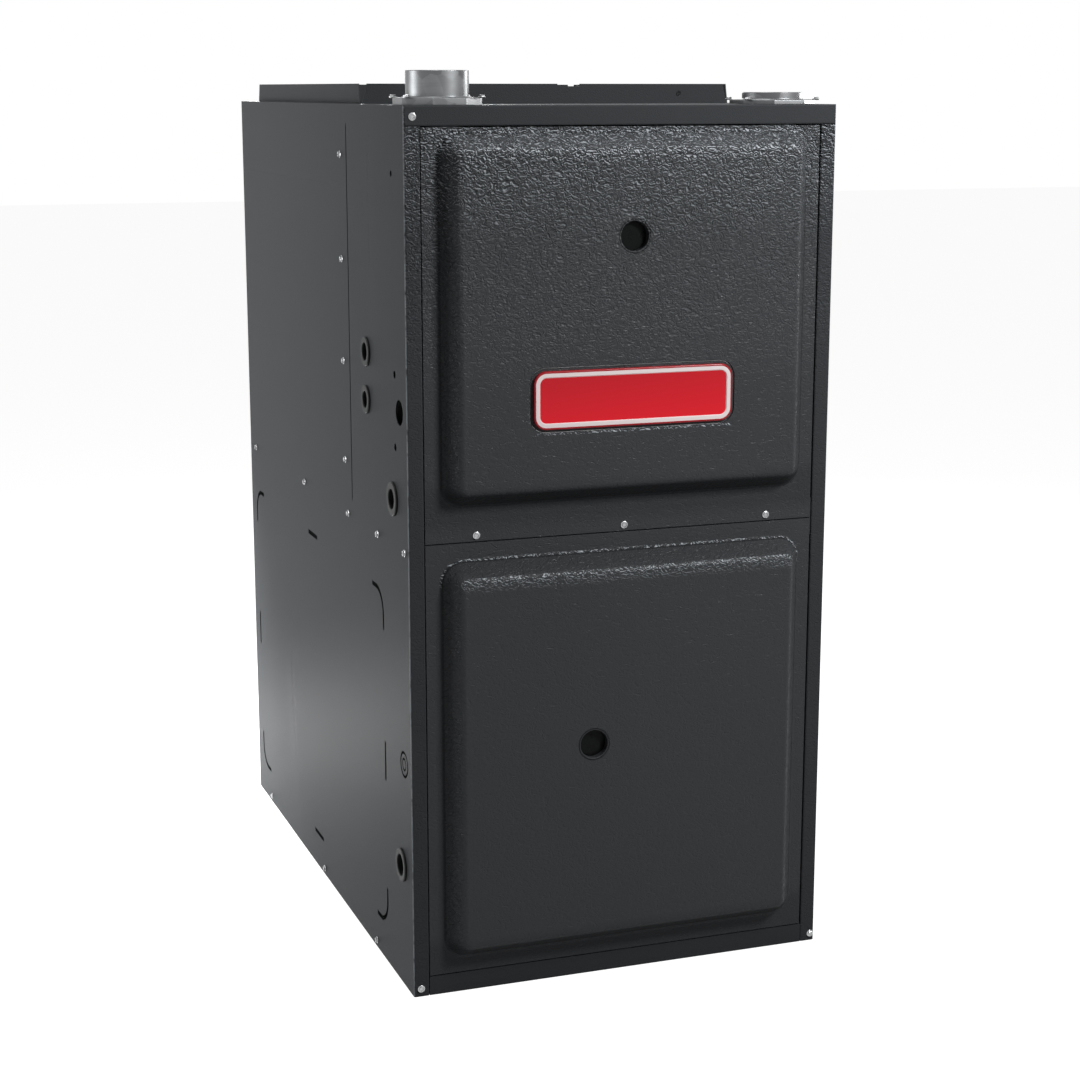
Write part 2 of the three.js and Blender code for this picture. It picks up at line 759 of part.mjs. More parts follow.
// Snap-in bushing: a rounded rim outside the wall, a barrel through it and a lip inside.
function bushing(port, bore, side) {
  const barrel = port.hole - FIT;
  const outline = [
    [bore, -PORT_PROUD],
    [port.rim - 1.2, -PORT_PROUD],
    [port.rim, -PORT_PROUD + 1.2],
    [port.rim, -FIT / 3],
    [barrel, -FIT / 3],
    [barrel, SHEET + 6],
    [bore, SHEET + 6],
  ].map(([r, h]) => [r, -side * h]);
  return turned('x', [side * (WIDTH / 2), FRONT + port.y, port.z], outline);
}

// Closed snap-in plug of the same outline.
const portPlug = (port, side) => bushing(port, 0, side);

// ---------------------------------------------------------------- heat exchanger

// One tubular cell: three passes joined by two return bends, open at both ends.
function heatCell(x) {
  const front = VESTIBULE - 4;
  const back = FRONT + COLLECTOR_Y[0] + 3;
  const levels = [BURNER_Z, BURNER_Z - 2 * CELL_BEND, BURNER_Z - 4 * CELL_BEND];
  const walk = (overrun) => {
    const path = [[front - overrun, levels[0], 0]];
    for (let i = 0; i <= 4; i += 1) {
      const angle = Math.PI * (i / 4);
      path.push([
        FRONT + CELL_BACK_BEND + CELL_BEND * Math.sin(angle),
        levels[0] - CELL_BEND + CELL_BEND * Math.cos(angle),
        -angle,
      ]);
    }
    for (let i = 0; i <= 4; i += 1) {
      const angle = Math.PI * (i / 4);
      path.push([
        FRONT + CELL_FRONT_BEND - CELL_BEND * Math.sin(angle),
        levels[1] - CELL_BEND + CELL_BEND * Math.cos(angle),
        angle - Math.PI,
      ]);
    }
    path.push([back + overrun, levels[2], 0]);
    return path;
  };
  return cut(bar(walk(0), x, CELL_RADIUS, 8), bar(walk(1), x, CELL_RADIUS - CELL_WALL, 8));
}

// Hot collector behind the coil: receives the three cells and opens on the coil tubes.
function collectorBox() {
  const [y0, y1] = COLLECTOR_Y.map((y) => FRONT + y);
  const half = COIL_HALF + 4;
  const bottom = COIL_Z[0] - 6;
  const box = block(-half, half, y0, y1, bottom, COLLECTOR_TOP);
  const hollow = block(-half + 2, half - 2, y0 + 2, y1 - 2, bottom + 2, COLLECTOR_TOP - 2);
  const level = BURNER_Z - 4 * CELL_BEND;
  const ports = BURNERS_X.map((x) =>
    rod('y', x, level, CELL_RADIUS + 1, y0 - 1, y0 + 3));
  const mouth = block(-COIL_HALF + 8, COIL_HALF - 8, y0 - 1, y0 + 3, 512, 558);
  return cut(box, hollow, ...ports, mouth);
}

// Finned secondary coil between the partition and the collector.
function secondaryCoil() {
  const y0 = VESTIBULE + SHEET + FIT;
  const y1 = FRONT + COLLECTOR_Y[0] - FIT;
  const [z0, z1] = COIL_Z;
  const low = [];
  const high = [];
  const fins = Math.round((y1 - y0 - COIL_SHEET) / COIL_PITCH);
  const step = (y1 - y0 - COIL_SHEET) / fins;
  for (let i = 0; i <= fins; i += 1) {
    const start = y0 + i * step;
    const end = start + COIL_SHEET;
    low.push([start, z0], [end, z0]);
    high.push([start, z1], [end, z1]);
    if (i < fins) {
      low.push([end, z0 + COIL_FIN], [start + step, z0 + COIL_FIN]);
      high.push([end, z1 - COIL_FIN], [start + step, z1 - COIL_FIN]);
    }
  }
  return prism(polygon([...low, ...high.reverse()]), 'x', -COIL_HALF, COIL_HALF);
}

// Moulded header in front of the coil with the inducer port and a drain neck.
function coilHeader() {
  const y1 = VESTIBULE - FIT;
  const y0 = y1 - HEADER_DEPTH;
  const half = COIL_HALF + 2;
  const [z0, z1] = [COIL_Z[0] - 8, COIL_Z[1] + 8];
  const body = prism(rounded(-half, half, z0, z1, 8, 2), 'y', y0, y1);
  const rib = [-30, 20].map((x) => block(x - 2, x + 2, y0 - 3, y0 + 1, z0 + 6, z1 - 6));
  const hollow = block(-half + 4, half - 4, y0 + 3, y1 + 1, z0 + 5, z1 - 5);
  const port = rod('y', INDUCER.x, INDUCER.z - 8, 22, y0 - 1, y0 + 4);
  const neck = rod('y', 145, z0 + 14, 9, y0 - 6, y0 + 1, 10);
  const bore = rod('y', 145, z0 + 14, 6, y0 - 7, y0 + 4, 8);
  return cut(fuse(body, ...rib, neck), hollow, port, bore);
}

// Condensate trap: a two-chamber cup that takes the header's drain neck.
function condensateTrap() {
  const y1 = VESTIBULE - FIT - HEADER_DEPTH - 6 - FIT;
  const y0 = y1 - 46;
  const body = prism(rounded(118, 172, y0, y1, 6, 2), 'z', 468, 532);
  const spout = rod('y', 145, COIL_Z[0] + 6, 9, y1 - 8, y1, 10);
  const drain = rod('x', y0 + 14, 480, 8, 170, 190, 10);
  const chambers = [
    block(122, 143.5, y0 + 4, y1 - 4, 472, 540),
    block(146.5, 168, y0 + 4, y1 - 4, 472, 540),
    block(130, 160, y0 + 10, y1 - 10, 474, 486),
  ];
  const inlet = rod('y', 145, COIL_Z[0] + 6, 5, y1 - 10, y1 + 1, 8);
  const outlet = rod('x', y0 + 14, 480, 5, 160, 191, 8);
  return cut(fuse(body, spout, drain), ...chambers, inlet, outlet);
}

// ---------------------------------------------------------------- burners and gas train

// Open-fronted box round the burners, closed by the partition at the back.
function burnerBox() {
  const { half, front, bottom, top } = BURNER_BOX;
  const [y0, y1] = [FRONT + front, VESTIBULE - FIT];
  const box = block(-half, half, y0, y1, bottom, top);
  const hollow = block(-half + SHEET, half - SHEET, y0 + SHEET, y1 - SHEET, bottom + SHEET, top - SHEET);
  const window = block(-half + 12, half - 12, y0 - 1, y0 + 3, bottom + 12, top - 12);
  const ports = BURNERS_X.map((x) =>
    rod('y', x, BURNER_Z, CELL_RADIUS + 1, y1 - 3, y1 + 1));
  const probes = rod('x', FRONT + PROBE.y, PROBE.z, PROBE.hole, -half - 1, half + 1, 10);
  return cut(box, hollow, window, ...ports, probes);
}

// Inshot burner: flared mouth, throat, straight mixing tube and a flame retaining head.
function burner(x) {
  const outline = [
    [15.5, 0],
    [17, 0],
    [10.5, 16],
    [10.5, 34],
    [18, 51],
    [18, 68],
    [16, 68],
    [16, 52],
    [9, 35],
    [9, 15.5],
  ];
  const tube = turned('y', [x, FRONT + 130, BURNER_Z], outline, 8);
  const foot = block(x - 8, x + 8, FRONT + 184, FRONT + 196, BURNER_BOX.bottom + INSIDE, BURNER_Z - 17);
  return fuse(tube, foot);
}

// Gas manifold: outlet elbow, riser and a bar with one orifice for each burner.
function gasManifold() {
  const { x, y, z, half } = VALVE;
  const start = x + half + 14 + FIT;
  const riser = start + 26;
  const [yv, ym] = [FRONT + y, FRONT + MANIFOLD_Y];
  const elbow = (cx, cy, cz) => solid(
    new THREE.SphereGeometry(GAS_PIPE + 2.6, 8, 4).translate(cx, cy, cz),
  );
  const orifices = BURNERS_X.map((bx) => rod('y', bx, BURNER_Z, 7, ym, FRONT + 128, 6));
  return fuse(
    rod('x', yv, z, GAS_PIPE, start, riser, 8),
    elbow(riser, yv, z),
    rod('y', riser, z, GAS_PIPE, ym, yv, 8),
    elbow(riser, ym, z),
    rod('z', riser, ym, GAS_PIPE, z, BURNER_Z, 8),
    elbow(riser, ym, BURNER_Z),
    rod('x', ym, BURNER_Z, GAS_PIPE, -BURNER_PITCH - 20, riser, 8),
    rod('x', ym, BURNER_Z, GAS_PIPE + 2.6, -BURNER_PITCH - 26, -BURNER_PITCH - 12, 6),
    ...orifices,
  );
}

// Gas valve: cast body with an inlet and an outlet boss, regulator tower and solenoid cover.
function gasValve() {
  const { x, y, z, half, deep, tall } = VALVE;
  const yv = FRONT + y;
  const body = prism(
    rounded(x - half, x + half, z - tall, z + tall - 8, 8, 2),
    'y',
    yv - deep,
    yv + deep,
  );
  const inlet = rod('x', yv, z, 17, x - half - 16, x - half + 4, 8);
  const outlet = rod('x', yv, z, 17, x + half - 4, x + half + 14, 8);
  const bore = rod('x', yv, z, 10.4, x - half - 17, x - half + 10, 12);
  const cover = block(x - 40, x + 10, yv - deep + 8, yv + deep - 8, z + tall - 10, z + tall + 8);
  const tower = rod('z', x + 30, yv - 10, 11, z + tall - 10, z + tall + 12, 12);
  const seat = rod('y', x - 20, z, 15, yv - deep - 3, yv - deep + 1, 12);
  const post = rod('y', x - 20, z, 4, yv - deep - 8, yv - deep, 8);
  const ledge = block(x - 30, x + 30, yv + deep - 1, VESTIBULE - FIT, z - 12, z + 12);
  return cut(fuse(body, inlet, outlet, cover, tower, seat, post, ledge), bore);
}

// Round handle on the front of the gas valve, with a grip bar.
function valveKnob() {
  const { x, y, z, deep } = VALVE;
  const face = FRONT + y - deep - 3 - FIT;
  const skirt = rod('y', x - 20, z, 13, face - 5, face, 16);
  const grip = prism(rounded(x - 24, x - 16, z - 12, z + 12, 3.5, 2), 'y', face - 15, face - 4);
  return cut(fuse(skirt, grip), rod('y', x - 20, z, 4.6, face - 5.5, face + 1, 10));
}

// Probe held in the side wall of the burner box: ceramic body, small flange and a tip.
function probe(side, tip, thick) {
  const wall = BURNER_BOX.half + FIT;
  const { y: inset, z, body } = PROBE;
  const y = FRONT + inset;
  const along = (from, to) => [side * from, side * to].sort((p, q) => p - q);
  return fuse(
    prism(rounded(y - 9, y + 9, z - 12, z + 16, 3, 2), 'x', ...along(wall, wall + SHEET)),
    rod('x', y, z, body, ...along(wall + 0.5, wall + 26), 10),
    rod('x', y, z, thick, ...along(tip, wall + 1), 6),
  );
}

// Flame roll-out switch on the roof of the burner box and the reset button in its throat.
const ROLLOUT = [60, FRONT + 160];

function rolloutSwitch() {
  const outline = [
    [3.4, 0],
    [12, 0],
    [12, 7],
    [7, 7],
    [6.4, 13],
    [3.4, 13],
  ];
  const base = turned('z', [...ROLLOUT, BURNER_BOX.top + SHEET + FIT - 0.2], outline, 12);
  const [x, y] = ROLLOUT;
  const z = BURNER_BOX.top + FIT;
  const foot = block(x - 20, x + 20, y - 8, y + 8, z, z + SHEET);
  return cut(fuse(base, foot), rod('z', x, y, 3.4, z - 1, z + 20, 12));
}

function resetButton() {
  const [x, y] = ROLLOUT;
  const z = BURNER_BOX.top + FIT;
  return fuse(
    rod('z', x, y, 3, z + 3.2, z + 19, 12),
    rod('z', x, y, 2, z + 18.5, z + 20, 12),
  );
}

// High temperature limit on the partition, its sensing cup through the sheet.
function limitSwitch() {
  const y = VESTIBULE - FIT;
  return fuse(
    prism(rounded(-80, -40, 674, 700, 5, 2), 'y', y - SHEET, y),
    rod('y', -60, 687, 12, y - 11, y - SHEET + 0.2),
    rod('y', -60, 687, 6.5, y - 1, y + 5, 10),
  );
}

function pressureSwitch() {
  const y = VESTIBULE - FIT;
  const outline = [
    [0, 0],
    [30, 0],
    [33, 3],
    [33, 13],
    [36, 13],
    [36, 17],
    [30, 24],
    [0, 26],
  ].map(([r, h]) => [r, -h]);
  return fuse(
    prism(rounded(112, 188, 606, 674, 5, 2), 'y', y - SHEET, y),
    turned('y', [150, y - SHEET + 0.2, 640], outline, 12),
    rod('y', 138, 640, 3, y - 36, y - 20, 6),
    rod('y', 162, 640, 3, y - 36, y - 20, 6),
  );
}

// ---------------------------------------------------------------- inducer and vent

// Spiral outline of a volute, counter-clockwise in its plane, as points round a centre.
function spiral(u, v, near, far, from, to, mirror, count) {
  const points = [];
  for (let i = 0; i <= count; i += 1) {
    const angle = from + ((to - from) * i) / count;
    const radius = near + ((far - near) * i) / count;
    points.push([u + mirror * radius * Math.cos(angle), v + radius * Math.sin(angle)]);
  }
  return points;
}

const DEGREE = Math.PI / 180;

// Draft inducer housing: moulded volute with an upward outlet and a round spigot.
function inducerHousing() {
  const { x, z, front, back, near, far } = INDUCER;
  const [y0, y1] = [FRONT + front, FRONT + back - FIT];
  const outline = (grow) => polygon([
    ...spiral(x, z, near + grow, far + grow, 62 * DEGREE, 360 * DEGREE, -1, 15),
    [x - far - grow, SPIGOT_Z[0]],
    [INDUCER_OUTLET_X + 29 + grow, SPIGOT_Z[0]],
  ]);
  const [low, high] = SPIGOT_Z;
  const spigot = rod('z', INDUCER_OUTLET_X, (y0 + y1) / 2, 26, low - 4, high, 12);
  const body = fuse(prism(outline(0), 'y', y0, y1), spigot);
  const spiralHollow = prism(outline(-2.5), 'y', y0 + 3, y1 - 3);
  const mouth = rod('z', INDUCER_OUTLET_X, (y0 + y1) / 2, 23, low - 22, high + 5);
  const shaftHole = rod('y', x, z, 7, y0 - 1, y0 + 4, 12);
  const inlet = rod('y', x, z - 8, 22, y1 - 4, y1 + 1);
  return cut(body, spiralHollow, mouth, shaftHole, inlet);
}

// Inducer rotor: bladed wheel, shaft and the small cooling fan in front of the housing.
function inducerRotor() {
  const { x, z, front } = INDUCER;
  const y = FRONT + front;
  const blades = [];
  for (let i = 0; i < 8; i += 1) {
    const angle = (2 * Math.PI * i) / 8;
    const lean = angle + 0.35;
    blades.push(prism(ribbon([
      [x + 16 * Math.cos(angle), z + 16 * Math.sin(angle)],
      [x + (INDUCER_WHEEL - 1) * Math.cos(lean), z + (INDUCER_WHEEL - 1) * Math.sin(lean)],
    ], 2), 'y', y + 10, y + 36));
  }
  return fuse(
    rod('y', x, z, INDUCER_WHEEL, y + 8, y + 10.5, 16),
    rod('y', x, z, 12, y + 8, y + 30, 10),
    rod('y', x, z, 4, y - 60, y + 12, 8),
    rod('y', x, z, 30, y - 5, y - 3, 12),
    ...blades,
  );
}

function inducerMotor() {
  const { x, z, front } = INDUCER;
  const y0 = FRONT + front;
  const outline = [
    [4.4, -8],
    [34, -8],
    [38, -12],
    [38, -58],
    [32, -66],
    [12, -68],
    [4.4, -68],
  ];
  const can = turned('y', [x, y0, z], outline, 12);
  const legs = [30, 150, 270].map((turn) => {
    const u = x + 40 * Math.cos(turn * DEGREE);
    const v = z + 40 * Math.sin(turn * DEGREE);
    return rod('y', u, v, 5, y0 - 22, y0 - FIT, 6);
  });
  return fuse(can, ...legs);
}

// Vent pipe: leaves the inducer, swings forward and rises into the left collar.
function ventPipe() {
  const y = FRONT + (INDUCER.front + INDUCER.back) / 2;
  const [xc, yc] = [LEFT + COLLAR_INSET_X, FRONT + COLLAR_INSET_Y];
  const at = (px, py, pz) => new THREE.Vector3(px, py, pz);
  const path = new THREE.CurvePath();
  const low = SPIGOT_Z[1] + 1;
  const high = TOP - VENT_STRAIGHT;
  const sway = (high - low - VENT_RUN) / 2;
  path.add(new THREE.LineCurve3(at(INDUCER_OUTLET_X, y, low), at(INDUCER_OUTLET_X, y, low + VENT_RUN)));
  path.add(new THREE.CubicBezierCurve3(
    at(INDUCER_OUTLET_X, y, low + VENT_RUN),
    at(INDUCER_OUTLET_X, y, low + VENT_RUN + sway),
    at(xc, yc, high - sway),
    at(xc, yc, high),
  ));
  path.add(new THREE.LineCurve3(at(xc, yc, high), at(xc, yc, TOP - VENT_STOP)));
  const wall = circle(0, 0, VENT_PIPE_RADIUS - 0.3, 10);
  wall.holes.push(circle(0, 0, VENT_PIPE_RADIUS - VENT_PIPE_WALL, 10));
  return solid(new THREE.ExtrudeGeometry(wall, { steps: 8, bevelEnabled: false, extrudePath: path }));
}

// Rubber sleeve from the inducer spigot to the vent pipe.
function ventCoupling() {
  const y = FRONT + (INDUCER.front + INDUCER.back) / 2 - FIT / 2;
  const outline = [
    [27.3, 0],
    [30, 0],
    [30, 8],
    [32, 10],
    [32, 40],
    [29.4, 40],
    [29.4, 23.2],
    [27.3, 23.2],
  ];
  return turned('z', [INDUCER_OUTLET_X, y, SPIGOT_Z[0] + FIT], outline, 12);
}

// ---------------------------------------------------------------- blower

const scrollPoints = (grow) => spiral(
  AXLE,
  AXLE_Z,
  SCROLL_NEAR + grow,
  SCROLL_FAR + grow,
  80 * DEGREE,
  360 * DEGREE,
  1,
  16,
);

// Blower housing: spiral scroll, two flat sides with rolled inlets and an outlet flange.
function blowerHousing() {
  const high = DECK_Z - FIT;
  const outer = polygon([
    ...scrollPoints(0),
    [AXLE + SCROLL_FAR, high],
    [AXLE + OUTLET_FRONT, high],
  ]);
  const inner = polygon([
    ...scrollPoints(-SHEET),
    [AXLE + SCROLL_FAR - SHEET, high + 2],
    [AXLE + OUTLET_FRONT + SHEET, high + 2],
  ]);
  const body = prism(outer, 'x', -HOUSING_HALF, HOUSING_HALF);
  const flange = block(
    -HOUSING_HALF - 15,
    HOUSING_HALF + 15,
    AXLE + OUTLET_FRONT - 14,
    AXLE + SCROLL_FAR + 14,
    high - SHEET,
    high,
  );
  const hollow = prism(inner, 'x', -HOUSING_HALF + SHEET, HOUSING_HALF - SHEET);
  const mouth = [
    [INLET_RADIUS, -9],
    [INLET_RADIUS + 2, -9],
    [INLET_RADIUS + 10, 0.2],
    [INLET_RADIUS + 8, SHEET],
  ];
  const rings = [-1, 1].map((side) => turned(
    'x',
    [side * (HOUSING_HALF - SHEET), AXLE, AXLE_Z],
    mouth.map(([r, h]) => [r, side * h]),
    16,
  ));
  const inlets = rod('x', AXLE, AXLE_Z, INLET_RADIUS + 7, -HOUSING_HALF - 1, HOUSING_HALF + 1, 16);
  return fuse(cut(fuse(body, flange), hollow, inlets), ...rings);
}

// Forward-curved double inlet wheel on its shaft.
function blowerWheel() {
  const inner = WHEEL_RADIUS - BLADE_DEPTH;
  const blades = [];
  for (let i = 0; i < BLADES; i += 1) {
    const angle = (2 * Math.PI * i) / BLADES;
    const at = (radius, turn) => [
      AXLE + radius * Math.cos(angle + turn),
      AXLE_Z + radius * Math.sin(angle + turn),
    ];
    const walk = [at(inner, 0), at(inner + BLADE_DEPTH * 0.6, 0.03), at(WHEEL_RADIUS - 3, 0.13)];
    blades.push(prism(ribbon(walk, 1.3), 'x', -WHEEL_HALF, WHEEL_HALF));
  }
  const rim = circle(AXLE, AXLE_Z, WHEEL_RADIUS, BLADES);
  rim.holes.push(circle(AXLE, AXLE_Z, inner - 2, BLADES));
  const disc = circle(AXLE, AXLE_Z, WHEEL_RADIUS, BLADES);
  return fuse(
    prism(disc, 'x', -0.8, 0.8),
    prism(rim, 'x', -WHEEL_HALF - 1, -WHEEL_HALF + 2),
    prism(rim, 'x', WHEEL_HALF - 2, WHEEL_HALF + 1),
    rod('x', AXLE, AXLE_Z, 22, -14, 10, 12),
    rod('x', AXLE, AXLE_Z, SHAFT, -34, MOTOR_X[0] + 30, 10),
    ...blades,
  );
}

function blowerMotor() {
  const [m0, m1] = MOTOR_X;
  const bore = SHAFT + FIT;
  const outline = [
    [bore, m0],
    [20, m0],
    [22, m0 + 6],
    [MOTOR_RADIUS - 8, m0 + 8],
    [MOTOR_RADIUS, m0 + 16],
    [MOTOR_RADIUS, m1 - 14],
    [MOTOR_RADIUS - 8, m1 - 6],
    [24, m1 - 5],
    [20, m1],
    [0, m1],
    [0, m0 + 34],
    [bore, m0 + 34],
  ];
  const shell = turned('x', [0, AXLE, AXLE_Z], outline, 12);
  const vents = [];
  for (let i = 0; i < 4; i += 1) {
    const angle = (2 * Math.PI * i) / 4;
    const u = AXLE + 42 * Math.cos(angle);
    const v = AXLE_Z + 42 * Math.sin(angle);
    vents.push(rod('x', u, v, 9, m1 - 12, m1 + 1, 6));
  }
  return cut(shell, ...vents);
}

// Belly band round the motor with three arms to the side of the housing.
function motorMount() {
  const x = [HOUSING_HALF + 8, HOUSING_HALF + 22];
  const band = circle(AXLE, AXLE_Z, MOTOR_RADIUS + FIT + 2.5, 12);
  band.holes.push(circle(AXLE, AXLE_Z, MOTOR_RADIUS + FIT, 12));
  const arms = [90, 210, 330].flatMap((turn) => {
    const way = [Math.cos(turn * DEGREE), Math.sin(turn * DEGREE)];
    const at = (radius) => [AXLE + radius * way[0], AXLE_Z + radius * way[1]];
    return [
      prism(ribbon([at(MOTOR_RADIUS + 1), at(INLET_RADIUS + 22)], 16), 'x', x[0] + 4, x[0] + 8),
      prism(
        ribbon([at(INLET_RADIUS + 14), at(INLET_RADIUS + 22)], 16),
        'x',
        HOUSING_HALF + FIT,
        x[0] + 8,
      ),
    ];
  });
  return fuse(prism(band, 'x', ...x), ...arms);
}

// Slide rail under the deck that carries one edge of the housing flange.
function blowerRail(side) {
  const edge = HOUSING_HALF + 15 + FIT;
  const high = DECK_Z - FIT;
  const [y0, y1] = [AXLE + OUTLET_FRONT - 40, AXLE + SCROLL_FAR + 30];
  const place = (from, to) => [side * from, side * to].sort((p, q) => p - q);
  const shelf = high - SHEET - FIT;
  return fuse(
    block(...place(edge - 9, edge + SHEET), y0, y1, shelf - SHEET, shelf),
    block(...place(edge, edge + SHEET), y0, y1, shelf - SHEET, high),
    block(...place(edge, edge + 18), y0, y1, high - SHEET, high),
  );
}

// ---------------------------------------------------------------- electrical

// Bracket in front of the blower that carries the control board.
function controlBracket() {
  const half = HOUSING_HALF + FIT;
  const y = FRONT + BRACKET_Y;
  return fuse(
    block(-half - SHEET, half + SHEET, y, y + SHEET, 178, 332),
    block(-half - SHEET, -half, y, y + 70, 178, 332),
    block(half, half + SHEET, y, y + 70, 178, 332),
  );
}

// Furnace control board with relays, connectors, fuse and standoffs.
function controlBoard() {
  const y = FRONT + BOARD_Y;
  const stack = (x0, x1, z0, z1, tall) => block(x0, x1, y - tall, y + 0.2, z0, z1);
  const posts = [[-88, 196], [52, 196], [-88, 308], [52, 308]].map(([x, z]) =>
    rod('y', x, z, 3, y + 1, FRONT + BRACKET_Y - FIT, 6));
  return fuse(
    block(-95, 60, y, y + 1.6, 190, 315),
    stack(-84, -60, 270, 300, 16),
    stack(-54, -30, 270, 300, 16),
    stack(-24, 0, 270, 300, 16),
    stack(10, 22, 200, 300, 10),
    stack(-80, -20, 196, 206, 11),
    stack(-46, -26, 232, 252, 3),
    stack(30, 48, 212, 226, 9),
    rod('y', -72, 240, 8, y - 14, y + 0.2, 10),
    rod('y', -39, 262, 2.5, y - 6, y + 0.2, 6),
    ...posts,
  );
}

// Low-voltage transformer: laminated core with a wound bobbin and mounting feet.
function transformer() {
  const back = FRONT + BRACKET_Y - FIT;
  return fuse(
    block(64, 116, back - SHEET, back, 204, 212),
    block(70, 110, back - 34, back - 0.5, 196, 244),
    block(76, 104, back - 42, back - 4, 206, 234),
    block(64, 116, back - SHEET, back, 228, 236),
  );
}

// Junction box on the left wall in front of the wire port, with a lid that laps its rim.
function junctionBox() {
  const x = LEFT + INSIDE;
  const [y0, y1] = [FRONT + 54, FRONT + 118];
  const [z0, z1] = [545, 660];
  const box = block(x, x + 30, y0, y1, z0, z1);
  const lid = block(x + 29.5, x + 31, y0 - 1, y1 + 1, z0 - 1, z1 + 1);
  const nut = rod('y', x + 15, WIRE_PORT.z + 15, 11, y1 - 1, y1 + 5, 6);
  return cut(fuse(box, lid, nut), rod('y', x + 15, WIRE_PORT.z + 15, 8, y1 + 1, y1 + 6, 10));
}

// Door interlock: switch body behind the centre rail and the plunger the lower door presses.
function doorSwitch() {
  const y = FRONT + INSIDE + SHEET + FIT;
  const body = block(SWITCH_X - 15, SWITCH_X + 15, y, y + 23, RAIL_Z[0] + INSIDE, DECK_Z - 2);
  const lugs = [-8, 8].map((dx) => block(
    SWITCH_X + dx - 3,
    SWITCH_X + dx + 3,
    y + 22,
    y + 31,
    SWITCH_Z - 0.5,
    SWITCH_Z + 0.5,
  ));
  return cut(fuse(body, ...lugs), rod('y', SWITCH_X, SWITCH_Z, 3.3, y - 1, y + 17, 12));
}

function switchPlunger() {
  return rod('y', SWITCH_X, SWITCH_Z, 3, FRONT + SHEET + FIT, FRONT + 15, 12);
}

// ---------------------------------------------------------------- assembly

const look = (color, metalness, roughness) =>
  () => new THREE.MeshStandardMaterial({ color, metalness, roughness });

const paint = look(0x3a3c3e, 0.1, 0.5);
const zinc = look(0xb4b8bb, 0.9, 0.35);
const steel = look(0x9a9c9e, 0.9, 0.45);
const foil = look(0xc8cacb, 0.9, 0.4);
const black = look(0x141414, 0, 0.55);
const brass = look(0xb08d4a, 0.9, 0.35);
const cast = look(0x8b8e90, 0.8, 0.5);
const white = look(0xd8d6cf, 0, 0.6);
const red = look(0xc4141c, 0.05, 0.35);
const green = look(0x1f5a38, 0, 0.5);
const glass = look(0x9fb0b0, 0, 0.1);
const fin = look(0xb9bdc0, 0.85, 0.4);

const furnace = new THREE.Group();
furnace.name = 'forced_air_gas_furnace';

function place(name, part, material) {
  const { vertProperties, triVerts, numProp } = part.getMesh();
  const vertices = [];
  for (let i = 0; i < vertProperties.length; i += numProp) {
    vertices.push(vertProperties[i], vertProperties[i + 1], vertProperties[i + 2]);
  }
  const geometry = new THREE.BufferGeometry();
  geometry.setAttribute('position', new THREE.Float32BufferAttribute(vertices, 3));
  geometry.setIndex(Array.from(triVerts));
  geometry.computeVertexNormals();
  const mesh = new THREE.Mesh(geometry, material());
  mesh.name = name;
  furnace.add(mesh);
}

place('cabinet_wrapper', cabinetWrapper(), paint);
place('top_panel', topPanel(), paint);
place('base_panel', basePanel(), paint);
place('centre_rail', centreRail(), paint);
place('blower_deck', blowerDeck(), zinc);
place('vestibule_panel', vestibulePanel(), zinc);
place('compartment_liner', compartmentLiner(), foil);

place('upper_door', upperDoor(), paint);
place('upper_door_liner', doorLiner(
  UPPER_EMBOSS_BOTTOM,
  UPPER_EMBOSS_TOP,
  UPPER_SIGHT,
  PLATE_POCKET + FIT,
), foil);
place('upper_sight_window', sightWindow(UPPER_SIGHT), glass);
place('door_plate', doorPlate(), red);
place('lower_door', lowerDoor(), paint);
place('lower_door_liner', doorLiner(LOWER_EMBOSS_BOTTOM, LOWER_EMBOSS_TOP, LOWER_SIGHT, FIT), foil);
place('lower_sight_window', sightWindow(LOWER_SIGHT), glass);

place('vent_collar', pipeCollar(LEFT + COLLAR_INSET_X, VENT_RIM, VENT_HEIGHT), zinc);
place('intake_collar', pipeCollar(RIGHT - COLLAR_INSET_X, INTAKE_RIM, INTAKE_HEIGHT), zinc);
place('gas_port_bushing', bushing(GAS_PORT, 9, -1), black);
place('wire_port_bushing', bushing(WIRE_PORT, 8.5, -1), black);
place('sense_port_bushing', bushing(SENSE_PORT, 10, -1), black);
place('drain_port_grommet', bushing(DRAIN_PORT, 11, -1), black);
place('gas_port_plug', portPlug(GAS_PORT, 1), black);

BURNERS_X.forEach((x, i) => {
  place(`heat_exchanger_cell_${i + 1}`, heatCell(x), steel);
});
place('collector_box', collectorBox(), steel);
place('secondary_coil', secondaryCoil(), fin);
place('coil_header', coilHeader(), black);
place('condensate_trap', condensateTrap(), black);

place('burner_box', burnerBox(), zinc);
BURNERS_X.forEach((x, i) => {
  place(`burner_${i + 1}`, burner(x), steel);
});
place('gas_manifold', gasManifold(), black);
place('gas_valve', gasValve(), cast);
place('gas_valve_knob', valveKnob(), red);
place('igniter', probe(1, 111, 2.5), white);
place('flame_sensor', probe(-1, 111, 1.6), white);
place('rollout_switch', rolloutSwitch(), black);
place('rollout_reset_button', resetButton(), red);
place('limit_switch', limitSwitch(), black);
place('pressure_switch', pressureSwitch(), black);

place('inducer_housing', inducerHousing(), black);
place('inducer_rotor', inducerRotor(), zinc);
place('inducer_motor', inducerMotor(), steel);
place('vent_coupling', ventCoupling(), black);
place('vent_pipe', ventPipe(), white);

place('blower_housing', blowerHousing(), zinc);
place('blower_wheel', blowerWheel(), zinc);
place('blower_motor', blowerMotor(), black);
place('motor_mount', motorMount(), zinc);
place('blower_rail_left', blowerRail(-1), zinc);
place('blower_rail_right', blowerRail(1), zinc);

